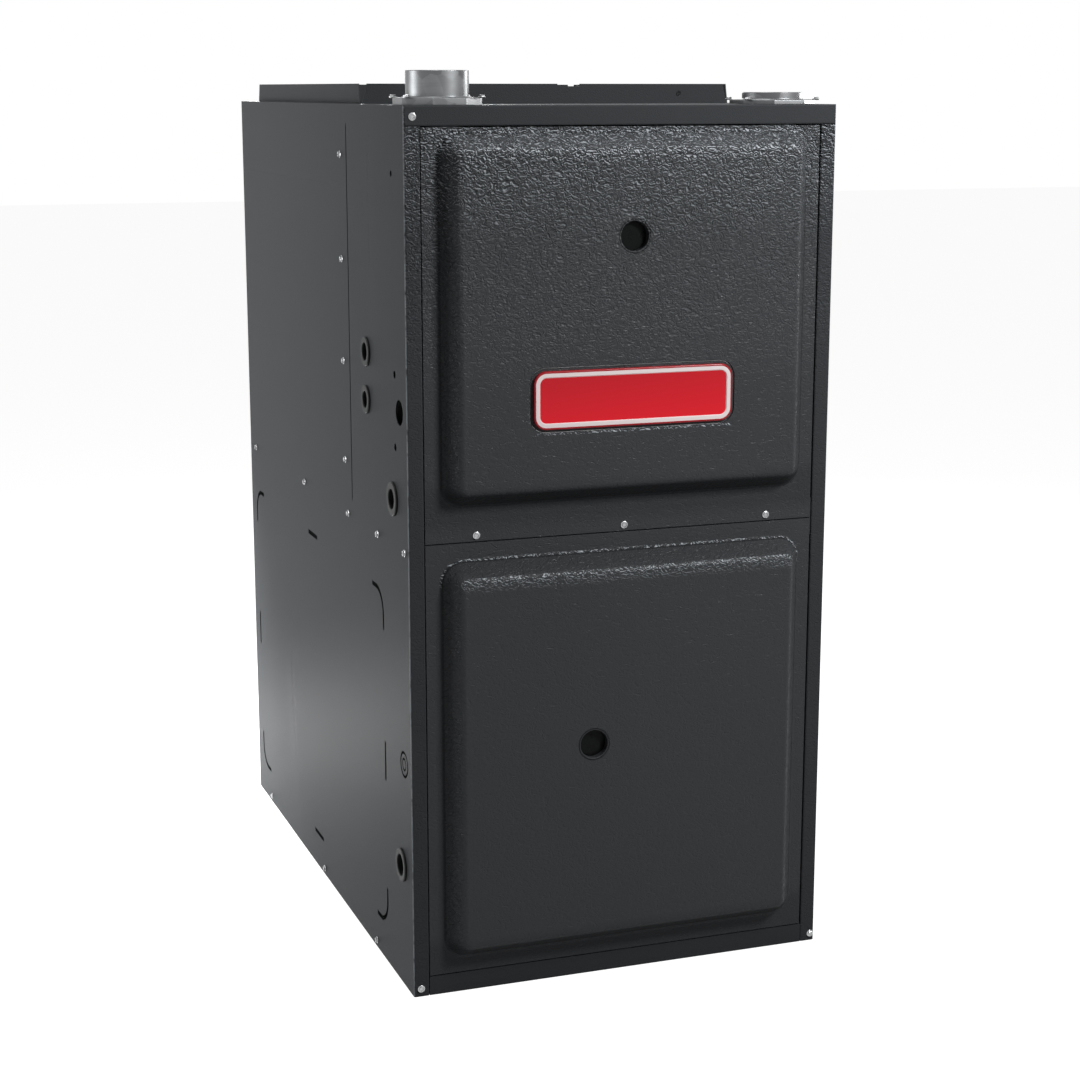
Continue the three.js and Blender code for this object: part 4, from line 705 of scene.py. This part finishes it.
def edit(obj):
    """Enters edit mode with all of the mesh selected."""
    only(obj)
    bpy.ops.object.mode_set(mode="EDIT")
    bpy.ops.mesh.select_all(action="SELECT")


def done():
    bpy.ops.object.mode_set(mode="OBJECT")


def turn_outwards():
    """Turns all faces of the mesh in edit mode outwards and leaves edit mode."""
    bpy.ops.mesh.select_all(action="SELECT")
    bpy.ops.mesh.normals_make_consistent(inside=False)
    done()


def pick(obj, kind, test):
    """Selects just the faces or edges of an object in edit mode that pass the test."""
    bpy.ops.mesh.select_mode(type=kind)
    bpy.ops.mesh.select_all(action="DESELECT")
    mesh = bmesh.from_edit_mesh(obj.data)
    for part in mesh.faces if kind == "FACE" else mesh.edges:
        if test(part):
            part.select_set(True)
    mesh.select_flush_mode()
    bmesh.update_edit_mesh(obj.data)


def modify(obj, kind, **settings):
    """Adds a modifier and applies it."""
    only(obj)
    modifier = obj.modifiers.new(kind.lower(), kind)
    for key, value in settings.items():
        setattr(modifier, key, value)
    bpy.ops.object.modifier_apply(modifier=modifier.name)


def combine(obj, tool, operation):
    """Joins a tool to an object or cuts it away, and throws the tool away."""
    modify(obj, "BOOLEAN", operation=operation, object=tool, solver="EXACT")
    bpy.data.objects.remove(tool)


def soften(obj, angle=32.0):
    """Smooth shading with clean flats."""
    only(obj)
    bpy.ops.object.shade_smooth_by_angle(angle=math.radians(angle))
    modify(obj, "WEIGHTED_NORMAL", keep_sharp=True, weight=80)


def piece(obj, name, body, slot, finish, *replaced):
    """Names a finished piece, gives it its finish and sets it on its body."""
    settle(obj)
    obj.name = name
    obj.data.name = name
    paint(obj, finish)
    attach(obj, body)
    if replaced:
        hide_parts(*replaced)
    clear_selection()
    return obj


def slab(low, high):
    """A plain box between two corners, a start for cutting and joining."""
    centre = (Vector(low) + Vector(high)) / 2
    clear_selection()
    bpy.ops.mesh.primitive_cube_add(size=1, location=centre)
    obj = bpy.context.object
    obj.scale = Vector(high) - Vector(low)
    settle(obj)
    return obj


def rod(axis, centre, radius, length, steps=48):
    """A cylinder along an axis, a start for cutting and joining."""
    turn = {"X": (0, math.pi / 2, 0), "Y": (math.pi / 2, 0, 0), "Z": (0, 0, 0)}[axis]
    clear_selection()
    bpy.ops.mesh.primitive_cylinder_add(
        vertices=steps, radius=radius, depth=length, location=centre, rotation=turn)
    obj = bpy.context.object
    settle(obj)
    return obj


def chain(points):
    """A line of vertices, each extruded from the last, in the XZ plane."""
    clear_selection()
    bpy.ops.mesh.primitive_plane_add(size=0.001)
    obj = bpy.context.object
    edit(obj)
    bpy.ops.mesh.merge(type="CENTER")
    bpy.ops.mesh.select_mode(type="VERT")
    bpy.ops.mesh.select_all(action="SELECT")
    here = Vector((0, 0, 0))
    for index, (across, up) in enumerate(points):
        step = Vector((across, 0, up)) - here
        here += step
        if index == 0:
            bpy.ops.transform.translate(value=step)
        else:
            bpy.ops.mesh.extrude_vertices_move(TRANSFORM_OT_translate={"value": step})
    return obj


def turned(outline, place, steps=64, lean=None):
    """Spins a closed [radius, height] outline round Z and sets the result in its place."""
    obj = chain([*outline, outline[0]])
    bpy.ops.mesh.select_all(action="SELECT")
    bpy.ops.mesh.remove_doubles(threshold=1e-7)
    bpy.ops.mesh.spin(steps=steps, angle=math.tau, center=(0, 0, 0), axis=(0, 0, 1))
    bpy.ops.mesh.select_all(action="SELECT")
    bpy.ops.mesh.remove_doubles(threshold=1e-6)
    turn_outwards()
    if lean:
        obj.rotation_euler = lean
    obj.location = place
    settle(obj)
    return obj


def arc(centre, radius, start, end, steps):
    """Points of an arc in a [radius, height] outline, angles in degrees."""
    angles = [math.radians(start + (end - start) * i / steps) for i in range(steps + 1)]
    return [(centre[0] + radius * math.cos(a), centre[1] + radius * math.sin(a)) for a in angles]


def copied(obj, name):
    """A copy of an object, with a mesh of its own."""
    twin = obj.copy()
    twin.data = obj.data.copy()
    twin.name = name
    bpy.context.scene.collection.objects.link(twin)
    return twin


def joined(objects, name):
    """The objects as one."""
    clear_selection()
    for obj in objects:
        obj.select_set(True)
    bpy.context.view_layer.objects.active = objects[0]
    bpy.ops.object.join()
    whole = bpy.context.object
    whole.name = name
    return whole


# ---------------------------------------------------------------- doors

# Steps along a raised field's rounded corner, and along its foot and shoulder fillets.
CORNER_STEPS = 14
FOOT_STEPS = 5
SHOULDER_STEPS = 8

# How far a door's left edge stands past its solid, how far the shelf and the side walls reach
# behind the cabinet's front, where the side walls end at the centre rail, and the edges' radius.
WIDER_LEFT = 0.001
SHELF_REACH = 0.012
WALL_REACH = 0.013
UPPER_WALL_FOOT = 0.484
LOWER_WALL_HEAD = 0.442
EDGE_RADIUS = 0.0004

PLATE_CORNER = 0.013


def field_profile(below):
    """[inset, height] points of the pressed rim, for the skin or the hollow below it."""
    s = sizes()
    slope = math.atan2(s.emboss_depth, s.emboss_slope)
    foot_run = s.emboss_foot * math.tan(slope / 2)
    shoulder_run = s.emboss_shoulder * math.tan(slope / 2)
    points = []
    for i in range(FOOT_STEPS + 1):
        angle = slope * i / FOOT_STEPS
        radius = s.emboss_foot + below
        points.append((
            radius * math.sin(angle) - foot_run,
            s.emboss_foot - radius * math.cos(angle)))
    for i in range(SHOULDER_STEPS + 1):
        angle = slope * (1 - i / SHOULDER_STEPS)
        radius = s.emboss_shoulder - below
        points.append((
            s.emboss_slope + shoulder_run - radius * math.sin(angle),
            s.emboss_depth - s.emboss_shoulder + radius * math.cos(angle)))
    return points


def raised_field(bottom, top, below, back):
    """Closed solid of a raised field: a rounded outline drawn forward ring by ring."""
    s = sizes()
    profile = field_profile(below)
    first_inset, first_height = profile[0]
    half = RIGHT - s.emboss_side - first_inset
    low, high = bottom + first_inset, top - first_inset
    obj = rounded_block(half, (high - low) / 2, s.emboss_corner, (0, (low + high) / 2),
                        back, FRONT - first_height, CORNER_STEPS)
    for (inset, height), (next_inset, next_height) in zip(profile, profile[1:]):
        bpy.ops.mesh.inset(
            thickness=next_inset - inset, depth=next_height - height, use_even_offset=True)
    turn_outwards()
    return obj


def sight_ring(centre):
    """Drawn collar of a sight hole, turned inwards from the raised face."""
    s = sizes()
    face = FRONT - s.emboss_depth
    radius = s.sight_radius
    outline = [
        *arc((radius + 0.0008, 0.0004), 0.0008, 180, 270, 5),
        (radius + 0.0022, -0.0004), (radius + 0.0022, 0.0008),
        (radius + 0.0012, 0.0018), (radius + 0.0012, 0.007), (radius, 0.007),
    ]
    return turned(outline, (centre[0], face + 0.0004, centre[1]), 56, (-math.pi / 2, 0, 0))


def pressed_door(node, body, field, sight):
    """Door of one sheet: flat border, shelf, side walls, raised field and drawn sight hole."""
    s = sizes()
    low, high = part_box(node)
    half, sheet = high.x, s.sheet
    left = -half - WIDER_LEFT
    name = f"{node}_pressed"
    if node == "upper_door":
        shelf_z, wall_low, wall_high = high.z - sheet, UPPER_WALL_FOOT, high.z
    else:
        shelf_z, wall_low, wall_high = low.z, low.z, LOWER_WALL_HEAD
    start = FRONT + sheet / 2
    skin = slab((left, FRONT, low.z), (half, FRONT + sheet, high.z))
    shelf = slab((left, start, shelf_z), (half, FRONT + SHELF_REACH, shelf_z + sheet))
    combine(skin, shelf, "UNION")
    for edge in (left, half - sheet):
        wall = slab((edge, start, wall_low), (edge + sheet, FRONT + WALL_REACH, wall_high))
        combine(skin, wall, "UNION")
    combine(skin, raised_field(*field, 0.0, FRONT + sheet), "UNION")
    combine(skin, raised_field(*field, sheet, FRONT + 0.006), "DIFFERENCE")
    hole = rod("Y", (sight[0], FRONT - s.emboss_depth, sight[1]), s.sight_radius + 0.0012, 0.01)
    combine(skin, hole, "DIFFERENCE")
    if node == "upper_door":
        combine(skin, plate_pocket(), "DIFFERENCE")
    edit(skin)
    pick(skin, "EDGE", lambda e: outer_edge(e, (left, half), (low.z, high.z)))
    bpy.ops.mesh.bevel(offset=EDGE_RADIUS, segments=3, affect="EDGES", clamp_overlap=True)
    done()
    whole = joined([skin, sight_ring(sight)], name)
    soften(whole)
    return piece(whole, name, body, "charcoal_paint", wrinkle_paint, node)


def outer_edge(edge, sides, ends):
    """True for the four front edges of a door's flat border."""
    points = [v.co for v in edge.verts]

    def on(axis, place):
        return all(abs(point[axis] - place) < 1e-5 for point in points)

    at_side = any(on(0, x) for x in sides)
    at_end = any(on(2, z) for z in ends)
    return on(1, FRONT) and (at_side or at_end)


def rounded_block(half_x, half_z, corner, centre, back, front, steps=10):
    """Rounded rectangle drawn from back to front along Y. Its front face stays selected."""
    clear_selection()
    bpy.ops.mesh.primitive_plane_add(
        size=1, location=(centre[0], back, centre[1]), rotation=(math.pi / 2, 0, 0))
    obj = bpy.context.object
    obj.scale = (half_x * 2, half_z * 2, 1)
    settle(obj)
    edit(obj)
    bpy.ops.mesh.bevel(offset=corner, offset_type="OFFSET", segments=steps, affect="VERTICES")
    bpy.ops.mesh.select_mode(type="FACE")
    bpy.ops.mesh.select_all(action="SELECT")
    bpy.ops.mesh.extrude_region_move(TRANSFORM_OT_translate={"value": (0, front - back, 0)})
    return obj


def plate_pocket():
    """Shallow recess round the plate, with a sloping lip."""
    low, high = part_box("door_plate")
    centre, half = (low + high) / 2, (high - low) / 2
    face = FRONT - sizes().emboss_depth
    gap = 0.0026
    tool = rounded_block(half.x + gap, half.z + gap, PLATE_CORNER + gap, (centre.x, centre.z),
                         face + 0.0009, face + 0.0006)
    bpy.ops.mesh.inset(thickness=0.0016, depth=0.001, use_outset=True, use_even_offset=True)
    bpy.ops.mesh.extrude_region_move(TRANSFORM_OT_translate={"value": (0, -0.001, 0)})
    turn_outwards()
    return tool


def door_plate():
    """Raised plate: rounded rim, a proud band and a field set slightly back."""
    low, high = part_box("door_plate")
    centre, half = (low + high) / 2, (high - low) / 2
    obj = rounded_block(
        half.x, half.z, PLATE_CORNER, (centre.x, centre.z), high.y, low.y + 0.0012)
    rim = ((0.0002, 0.0006), (0.0004, 0.0004), (0.0006, 0.0002))
    band = (sizes().plate_border, 0)
    step_back = ((0.0003, -0.0001), (0.0004, -0.0005), (0.0006, -0.0002))
    for inset, depth in (*rim, band, *step_back):
        bpy.ops.mesh.inset(thickness=inset, depth=depth, use_even_offset=True)
    turn_outwards()
    soften(obj)
    return piece(obj, "door_plate_dressed", "upper_access_door", "plate_red", plate_enamel,
                 "door_plate")


# ---------------------------------------------------------------- collars and bushings

# Height of each collar's flange above the top panel, its sides, and the gap under it.
FLANGE_TOPS = {"vent_collar": 0.007, "intake_collar": 0.0045}
FLANGE_SIDES = 8
FLANGE_GAP = 0.0003
COLLAR_WALL = 0.0015
COLLAR_STEPS = 72
WELD = 0.0012

# Bore of each bushing, and how much its flange is wider than its barrel.
BUSHING_BORES = {
    "gas_port_bushing": 0.009,
    "wire_port_bushing": 0.0085,
    "sense_port_bushing": 0.01,
    "drain_port_grommet": 0.011,
}
FLANGE_STEP = 0.0036
BUSHING_STEPS = 48


def pipe_collar(node, flange_top):
    """Pipe collar with a rolled rim, standing on a thick flange."""
    outer = sizes().collar_radius
    low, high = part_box(node)
    centre = ((low.x + high.x) / 2, (low.y + high.y) / 2)
    name = f"{node}_turned"
    tall, drop = high.z - TOP, low.z - TOP
    lip = COLLAR_WALL / 2
    tube = turned([
        (outer - COLLAR_WALL, drop), (outer, drop), (outer, tall - lip),
        *arc((outer - lip, tall - lip), lip, 0, 180, 8),
    ], (*centre, TOP), COLLAR_STEPS)
    thick = flange_top - FLANGE_GAP
    clear_selection()
    bpy.ops.mesh.primitive_cylinder_add(
        vertices=FLANGE_SIDES, radius=(high.x - low.x) / 2, depth=thick,
        location=(*centre, TOP + FLANGE_GAP + thick / 2), rotation=(0, 0, math.pi / FLANGE_SIDES))
    flange = bpy.context.object
    settle(flange)
    edit(flange)
    pick(flange, "EDGE", lambda e: all(v.co.z > TOP + flange_top / 2 for v in e.verts))
    bpy.ops.mesh.bevel(offset=0.0009, segments=3, affect="EDGES")
    done()
    bore = rod("Z", (*centre, TOP), outer + 0.00005, 0.06, COLLAR_STEPS)
    combine(flange, bore, "DIFFERENCE")
    weld = turned([
        *arc((outer + WELD, flange_top + WELD), WELD, 180, 270, 5),
        (outer + WELD, flange_top - 0.0004), (outer - 0.0002, flange_top - 0.0004),
    ], (*centre, TOP), COLLAR_STEPS)
    whole = joined([tube, flange, weld], name)
    soften(whole, 30)
    return piece(whole, name, "cabinet", "galvanised_steel", galvanised, node)


def bushing(node, bore):
    """Snap-in bushing of the left wall: rounded flange outside it and a barrel inside it."""
    low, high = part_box(node)
    centre = (LEFT, (low.y + high.y) / 2, (low.z + high.z) / 2)
    flange = (high.y - low.y) / 2
    proud, inside = LEFT - low.x, high.x - LEFT
    barrel = flange - FLANGE_STEP
    outline = [
        (bore, -inside), (barrel - 0.0006, -inside), (barrel, -inside + 0.002),
        (barrel, 0.0001), (flange - 0.0004, 0.0001), (flange, 0.0006),
        *arc((flange - 0.0014, proud - 0.0014), 0.0014, 0, 90, 5),
        *arc((bore + 0.0012, proud - 0.0012), 0.0012, 90, 180, 5),
    ]
    ring = turned(outline, centre, BUSHING_STEPS, (0, -math.pi / 2, 0))
    soften(ring, 35)
    return piece(ring, f"{node}_turned", "cabinet", "black_plastic", black_plastic, node)


def port_plug():
    """Domed plug that closes the unused port in the right side."""
    low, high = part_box("gas_port_plug")
    centre = (RIGHT, (low.y + high.y) / 2, (low.z + high.z) / 2)
    flange = (high.y - low.y) / 2
    proud, inside = high.x - RIGHT, RIGHT - low.x
    barrel = flange - FLANGE_STEP
    outline = [
        (0.00001, -inside + 0.004), (barrel - 0.002, -inside + 0.004), (barrel - 0.002, -inside),
        (barrel, -inside + 0.001), (barrel, 0.0001), (flange, 0.0004),
        (flange, 0.0012), (flange - 0.002, proud - 0.0004), (flange - 0.004, proud),
        (flange - 0.006, proud - 0.0006), (0.00001, proud - 0.0003),
    ]
    plug = turned(outline, centre, BUSHING_STEPS, (0, math.pi / 2, 0))
    soften(plug, 35)
    return piece(plug, "gas_port_plug_dressed", "cabinet", "black_plastic", black_plastic,
                 "gas_port_plug")


def vent_pipe():
    """Plastic vent pipe: straight out of the draft inducer, an easy sway, straight up."""
    radius, wall, run, straight = 0.028, 0.002, 0.028, 0.0443
    low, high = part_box("vent_pipe")
    foot = Vector((high.x - radius, high.y - radius, low.z))
    head = Vector((low.x + radius, low.y + radius, high.z))
    bend = [foot + Vector((0, 0, run)), head - Vector((0, 0, straight))]
    sway = Vector((0, 0, (bend[1].z - bend[0].z) / 2))
    clear_selection()
    bpy.ops.curve.primitive_bezier_curve_add()
    obj = bpy.context.object
    bpy.ops.object.mode_set(mode="EDIT")
    bpy.ops.curve.select_all(action="SELECT")
    bpy.ops.curve.subdivide(number_cuts=2)
    done()
    path = [(foot, run / 3, run / 3), (bend[0], run / 3, sway.z),
            (bend[1], sway.z, straight / 3), (head, straight / 3, straight / 3)]
    spline = obj.data.splines[0]
    for point, (place, before, after) in zip(spline.bezier_points, path):
        point.handle_left_type = point.handle_right_type = "FREE"
        point.co = place
        point.handle_left = place - Vector((0, 0, before))
        point.handle_right = place + Vector((0, 0, after))
    spline.resolution_u = 16
    obj.data.dimensions = "3D"
    obj.data.bevel_depth = radius
    obj.data.bevel_resolution = 12
    bpy.ops.object.convert(target="MESH")
    obj = bpy.context.object
    edit(obj)
    turn_outwards()
    modify(obj, "SOLIDIFY", thickness=wall, offset=-1.0)
    soften(obj, 40)
    return piece(obj, "vent_pipe_swept", "cabinet", "white_ceramic", pale_plastic, "vent_pipe")


# ---------------------------------------------------------------- screws

# Screw places in metres from the cabinet's front left lower corner, as seen, and from a
# collar's middle.
FRONT_SCREWS = ((0.0087, 0.8661), (0.0073, 0.0082), (0.4401, 0.0077))
DOOR_SCREWS = ((0.0683, 0.4683), (0.2223, 0.4683), (0.3769, 0.4683))
SIDE_SCREWS = (
    (0.234, 0.8257), (0.234, 0.7193), (0.234, 0.6136), (0.234, 0.5091),
    (0.014, 0.4527), (0.111, 0.4527), (0.226, 0.4527), (0.422, 0.4527), (0.677, 0.4527),
    (0.138, 0.0077), (0.364, 0.0077), (0.638, 0.0077),
)
COLLAR_SCREW = (0.0369, 0.0232)

# Turn of the first screw of a row, and how much further each next one is turned, in radians.
FIRST_TURN = 0.3
NEXT_TURN = 0.7


def hex_screw():
    """Hexagon washer-head screw with a dished top and a slot, standing on Z."""
    radius = sizes().screw_radius
    washer = turned([
        (0.0002, -0.0006), (radius - 0.0003, -0.0006), (radius, 0.0002), (radius, 0.0005),
        (radius - 0.0004, 0.0008), (radius * 0.72, 0.0009), (0.0002, 0.0009),
    ], (0, 0, 0), 24)
    clear_selection()
    bpy.ops.mesh.primitive_cylinder_add(
        vertices=6, radius=radius * 0.78, depth=0.0014, location=(0, 0, 0.0014))
    head = bpy.context.object
    settle(head)
    edit(head)
    pick(head, "FACE", lambda f: f.normal.z > 0.9)
    bpy.ops.mesh.inset(thickness=radius * 0.1, depth=0.0003)
    bpy.ops.mesh.inset(thickness=radius * 0.14, depth=0)
    bpy.ops.mesh.inset(thickness=radius * 0.1, depth=-0.0006)
    done()
    combine(head, slab((-radius, -0.0005, 0.0016), (radius, 0.0005, 0.004)), "DIFFERENCE")
    screw = joined([washer, head], "screw")
    soften(screw, 30)
    return screw


def screws_on(name, body, pattern, places, normal):
    """Copies of one screw on a face, each turned a little further, joined as one piece."""
    lean = Vector(normal).to_track_quat("Z", "Y").to_matrix().to_4x4()
    copies = []
    for index, place in enumerate(places):
        twin = copied(pattern, f"{name}_{index}")
        spin = Matrix.Rotation(index * NEXT_TURN + FIRST_TURN, 4, "Z")
        twin.data.transform(Matrix.Translation(place) @ lean @ spin)
        copies.append(twin)
    whole = joined(copies, name) if len(copies) > 1 else copies[0]
    return piece(whole, name, body, "galvanised_steel", bright_zinc)


# ---------------------------------------------------------------- stage

# What the doors' lamp is aimed at, the way to that lamp and how far along it the lamp hangs.
KEY_TARGET = Vector((0, FRONT, 0.52))
KEY_WAY = Vector((0.45, -0.68, 0.58))
KEY_REACH = 1.6

# Strength of the world's light on the furnace, and the white of the floor as the camera sees it.
AMBIENT = 0.07
FLOOR_GLOW = 0.93

# The camera that was fitted to the cabinet's corners: place in metres, turns in degrees and
# focal length and sensor in millimetres.
EYE = (-0.77805, -2.2654, 0.8909)
EYE_TILT = 78.063
EYE_HEADING = -19.731
EYE_LENS = 71.11
EYE_SENSOR = 36


def lamp(name, place, target, size, power, spread=180):
    """A square area lamp aimed at a point."""
    data = bpy.data.lights.new(name, "AREA")
    data.shape = "RECTANGLE"
    data.size, data.size_y = size
    data.energy = power
    data.spread = math.radians(spread)
    obj = bpy.data.objects.new(name, data)
    bpy.context.scene.collection.objects.link(obj)
    obj.location = place
    obj.rotation_euler = (Vector(target) - Vector(place)).to_track_quat("-Z", "Y").to_euler()


# ---------------------------------------------------------------- operators

class FURNACE_OT_finish_nodes(bpy.types.Operator):
    """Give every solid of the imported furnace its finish"""

    bl_idname = "furnace.finish_nodes"
    bl_label = "Finish the solids"

    def execute(self, context):
        left = set(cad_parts)
        for finish, nodes in FINISHES.items():
            for node in nodes:
                paint(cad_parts[node], finish)
                left.discard(node)
        if left:
            raise RuntimeError(f"no finish for {sorted(left)}")
        return {"FINISHED"}


class FURNACE_OT_doors(bpy.types.Operator):
    """Press the two access doors and set the plate on the upper one"""

    bl_idname = "furnace.doors"
    bl_label = "Make the doors"

    def execute(self, context):
        s = sizes()
        pressed_door("upper_door", "upper_access_door", s.upper_field, s.upper_sight)
        pressed_door("lower_door", "lower_access_door", s.lower_field, s.lower_sight)
        door_plate()
        return {"FINISHED"}


class FURNACE_OT_collars(bpy.types.Operator):
    """Turn the vent and intake collars on the top panel"""

    bl_idname = "furnace.collars"
    bl_label = "Make the collars"

    def execute(self, context):
        for node, flange_top in FLANGE_TOPS.items():
            pipe_collar(node, flange_top)
        return {"FINISHED"}


class FURNACE_OT_bushings(bpy.types.Operator):
    """Turn the bushings and the plug of the side ports"""

    bl_idname = "furnace.bushings"
    bl_label = "Make the bushings"

    def execute(self, context):
        for node, bore in BUSHING_BORES.items():
            bushing(node, bore)
        port_plug()
        return {"FINISHED"}


class FURNACE_OT_vent_pipe(bpy.types.Operator):
    """Sweep the vent pipe from the draft inducer to its collar"""

    bl_idname = "furnace.vent_pipe"
    bl_label = "Make the vent pipe"

    def execute(self, context):
        vent_pipe()
        return {"FINISHED"}


class FURNACE_OT_screws(bpy.types.Operator):
    """Set the screws of the cabinet, the doors and the collars"""

    bl_idname = "furnace.screws"
    bl_label = "Make the screws"

    def execute(self, context):
        pattern = hex_screw()
        front = [(LEFT + x, FRONT, z) for x, z in FRONT_SCREWS]
        screws_on("front_screws", "cabinet", pattern, front, (0, -1, 0))
        doors = [(LEFT + x, FRONT, z) for x, z in DOOR_SCREWS]
        screws_on("door_screws", "upper_access_door", pattern, doors, (0, -1, 0))
        for name, wall, way in (("left", LEFT, -1), ("right", RIGHT, 1)):
            side = [(wall, FRONT + y, z) for y, z in SIDE_SCREWS]
            screws_on(f"{name}_side_screws", "cabinet", pattern, side, (way, 0, 0))
        for node, flange_top in FLANGE_TOPS.items():
            low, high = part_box(node)
            middle = (low + high) / 2
            off_x, off_y = COLLAR_SCREW
            ring = [
                (middle.x + x, middle.y + y, TOP + flange_top)
                for x in (-off_x, off_x) for y in (-off_y, off_y)
            ]
            screws_on(f"{node}_screws", "cabinet", pattern, ring, (0, 0, 1))
        bpy.data.objects.remove(pattern)
        return {"FINISHED"}


class FURNACE_OT_stage(bpy.types.Operator):
    """Set the floor, the lamps and the camera"""

    bl_idname = "furnace.stage"
    bl_label = "Set the stage"

    def execute(self, context):
        scene = context.scene
        scene.view_settings.view_transform = "Standard"
        self.world(scene)
        self.floor()
        key = KEY_TARGET + KEY_WAY * KEY_REACH
        lamp("key softbox", key, KEY_TARGET, (0.3, 0.3), 17.5)
        lamp("top softbox", (0.42, -1.0, 1.2), (0.02, FRONT, 0.86), (0.16, 0.08), 1.6)
        lamp("high softbox", (-0.2, -0.2, 2.4), (0, 0, 0.6), (0.7, 0.7), 16)
        lamp("left softbox", (-1.6, 0.3, 0.7), (LEFT, 0.1, 0.45), (0.6, 0.6), 15)
        lamp("right softbox", (1.8, 0.5, 0.9), (RIGHT, 0.1, 0.45), (0.6, 0.6), 13)
        lamp("back softbox", (0.4, 2.1, 1.0), (0, BACK, 0.45), (0.6, 0.6), 13)
        lamp("floor softbox", (-0.42, 0.6, 0.55), (-0.38, 0.6, 0), (0.3, 0.3), 7.5, 100)
        camera = bpy.data.cameras.new("camera")
        camera.sensor_width = EYE_SENSOR
        camera.lens = EYE_LENS
        eye = bpy.data.objects.new("camera", camera)
        scene.collection.objects.link(eye)
        eye.location = EYE
        eye.rotation_euler = (math.radians(EYE_TILT), 0, math.radians(EYE_HEADING))
        scene.camera = eye
        return {"FINISHED"}

    def world(self, scene):
        """Soft light on the furnace, and plain white where the camera looks past it."""
        scene.world = bpy.data.worlds.new("studio")
        nodes = Nodes(scene.world)
        soft = nodes.add("ShaderNodeBackground", None, {0: (1, 1, 1, 1), 1: AMBIENT})
        white = nodes.add("ShaderNodeBackground", None, {0: (1, 1, 1, 1), 1: 1.0})
        mix = nodes.add("ShaderNodeMixShader", None, {
            0: nodes.seen(), 1: Value(nodes, soft.outputs[0]), 2: Value(nodes, white.outputs[0])})
        nodes.tree.links.new(mix.outputs[0], nodes.tree.nodes["World Output"].inputs[0])

    def floor(self):
        """Wide floor that glows white to the camera and takes soft shadows."""
        clear_selection()
        bpy.ops.mesh.primitive_plane_add(size=30, location=(0, 0, 0))
        floor = bpy.context.object
        floor.name = "floor"
        s = Shader("studio floor", Base_Color=(*colours().floor, 1), Roughness=0.8,
                   Specular_IOR_Level=0.0, Emission_Strength=1.0)
        s.feed("Emission Color", s.blend(s.seen(), (0.0,) * 3, (FLOOR_GLOW,) * 3))
        floor.data.materials.append(s.material)


STEPS = (
    FURNACE_OT_stage,
    FURNACE_OT_finish_nodes,
    FURNACE_OT_doors,
    FURNACE_OT_collars,
    FURNACE_OT_bushings,
    FURNACE_OT_vent_pipe,
    FURNACE_OT_screws,
)


class FURNACE_PT_panel(bpy.types.Panel):
    """Lists the furnace's pieces, sizes and colours"""

    bl_idname = "FURNACE_PT_panel"
    bl_label = "Furnace"
    bl_space_type = "VIEW_3D"
    bl_region_type = "UI"
    bl_category = "Furnace"

    def draw(self, context):
        for step in STEPS:
            self.layout.operator(step.bl_idname)
        for group in (sizes(), colours()):
            box = self.layout.box()
            for name in group.__annotations__:
                box.prop(group, name)


CLASSES = (FurnaceSizes, FurnaceColours, *STEPS, FURNACE_PT_panel)


def register():
    for kind in CLASSES:
        bpy.utils.register_class(kind)
    bpy.types.Scene.furnace_sizes = bpy.props.PointerProperty(type=FurnaceSizes)
    bpy.types.Scene.furnace_colours = bpy.props.PointerProperty(type=FurnaceColours)


def unregister():
    del bpy.types.Scene.furnace_colours
    del bpy.types.Scene.furnace_sizes
    for kind in reversed(CLASSES):
        bpy.utils.unregister_class(kind)


def main():
    register()
    bpy.ops.furnace.stage()
    bpy.ops.furnace.finish_nodes()
    bpy.ops.furnace.doors()
    bpy.ops.furnace.collars()
    bpy.ops.furnace.bushings()
    bpy.ops.furnace.vent_pipe()
    bpy.ops.furnace.screws()


if __name__ == "__main__":
    main()
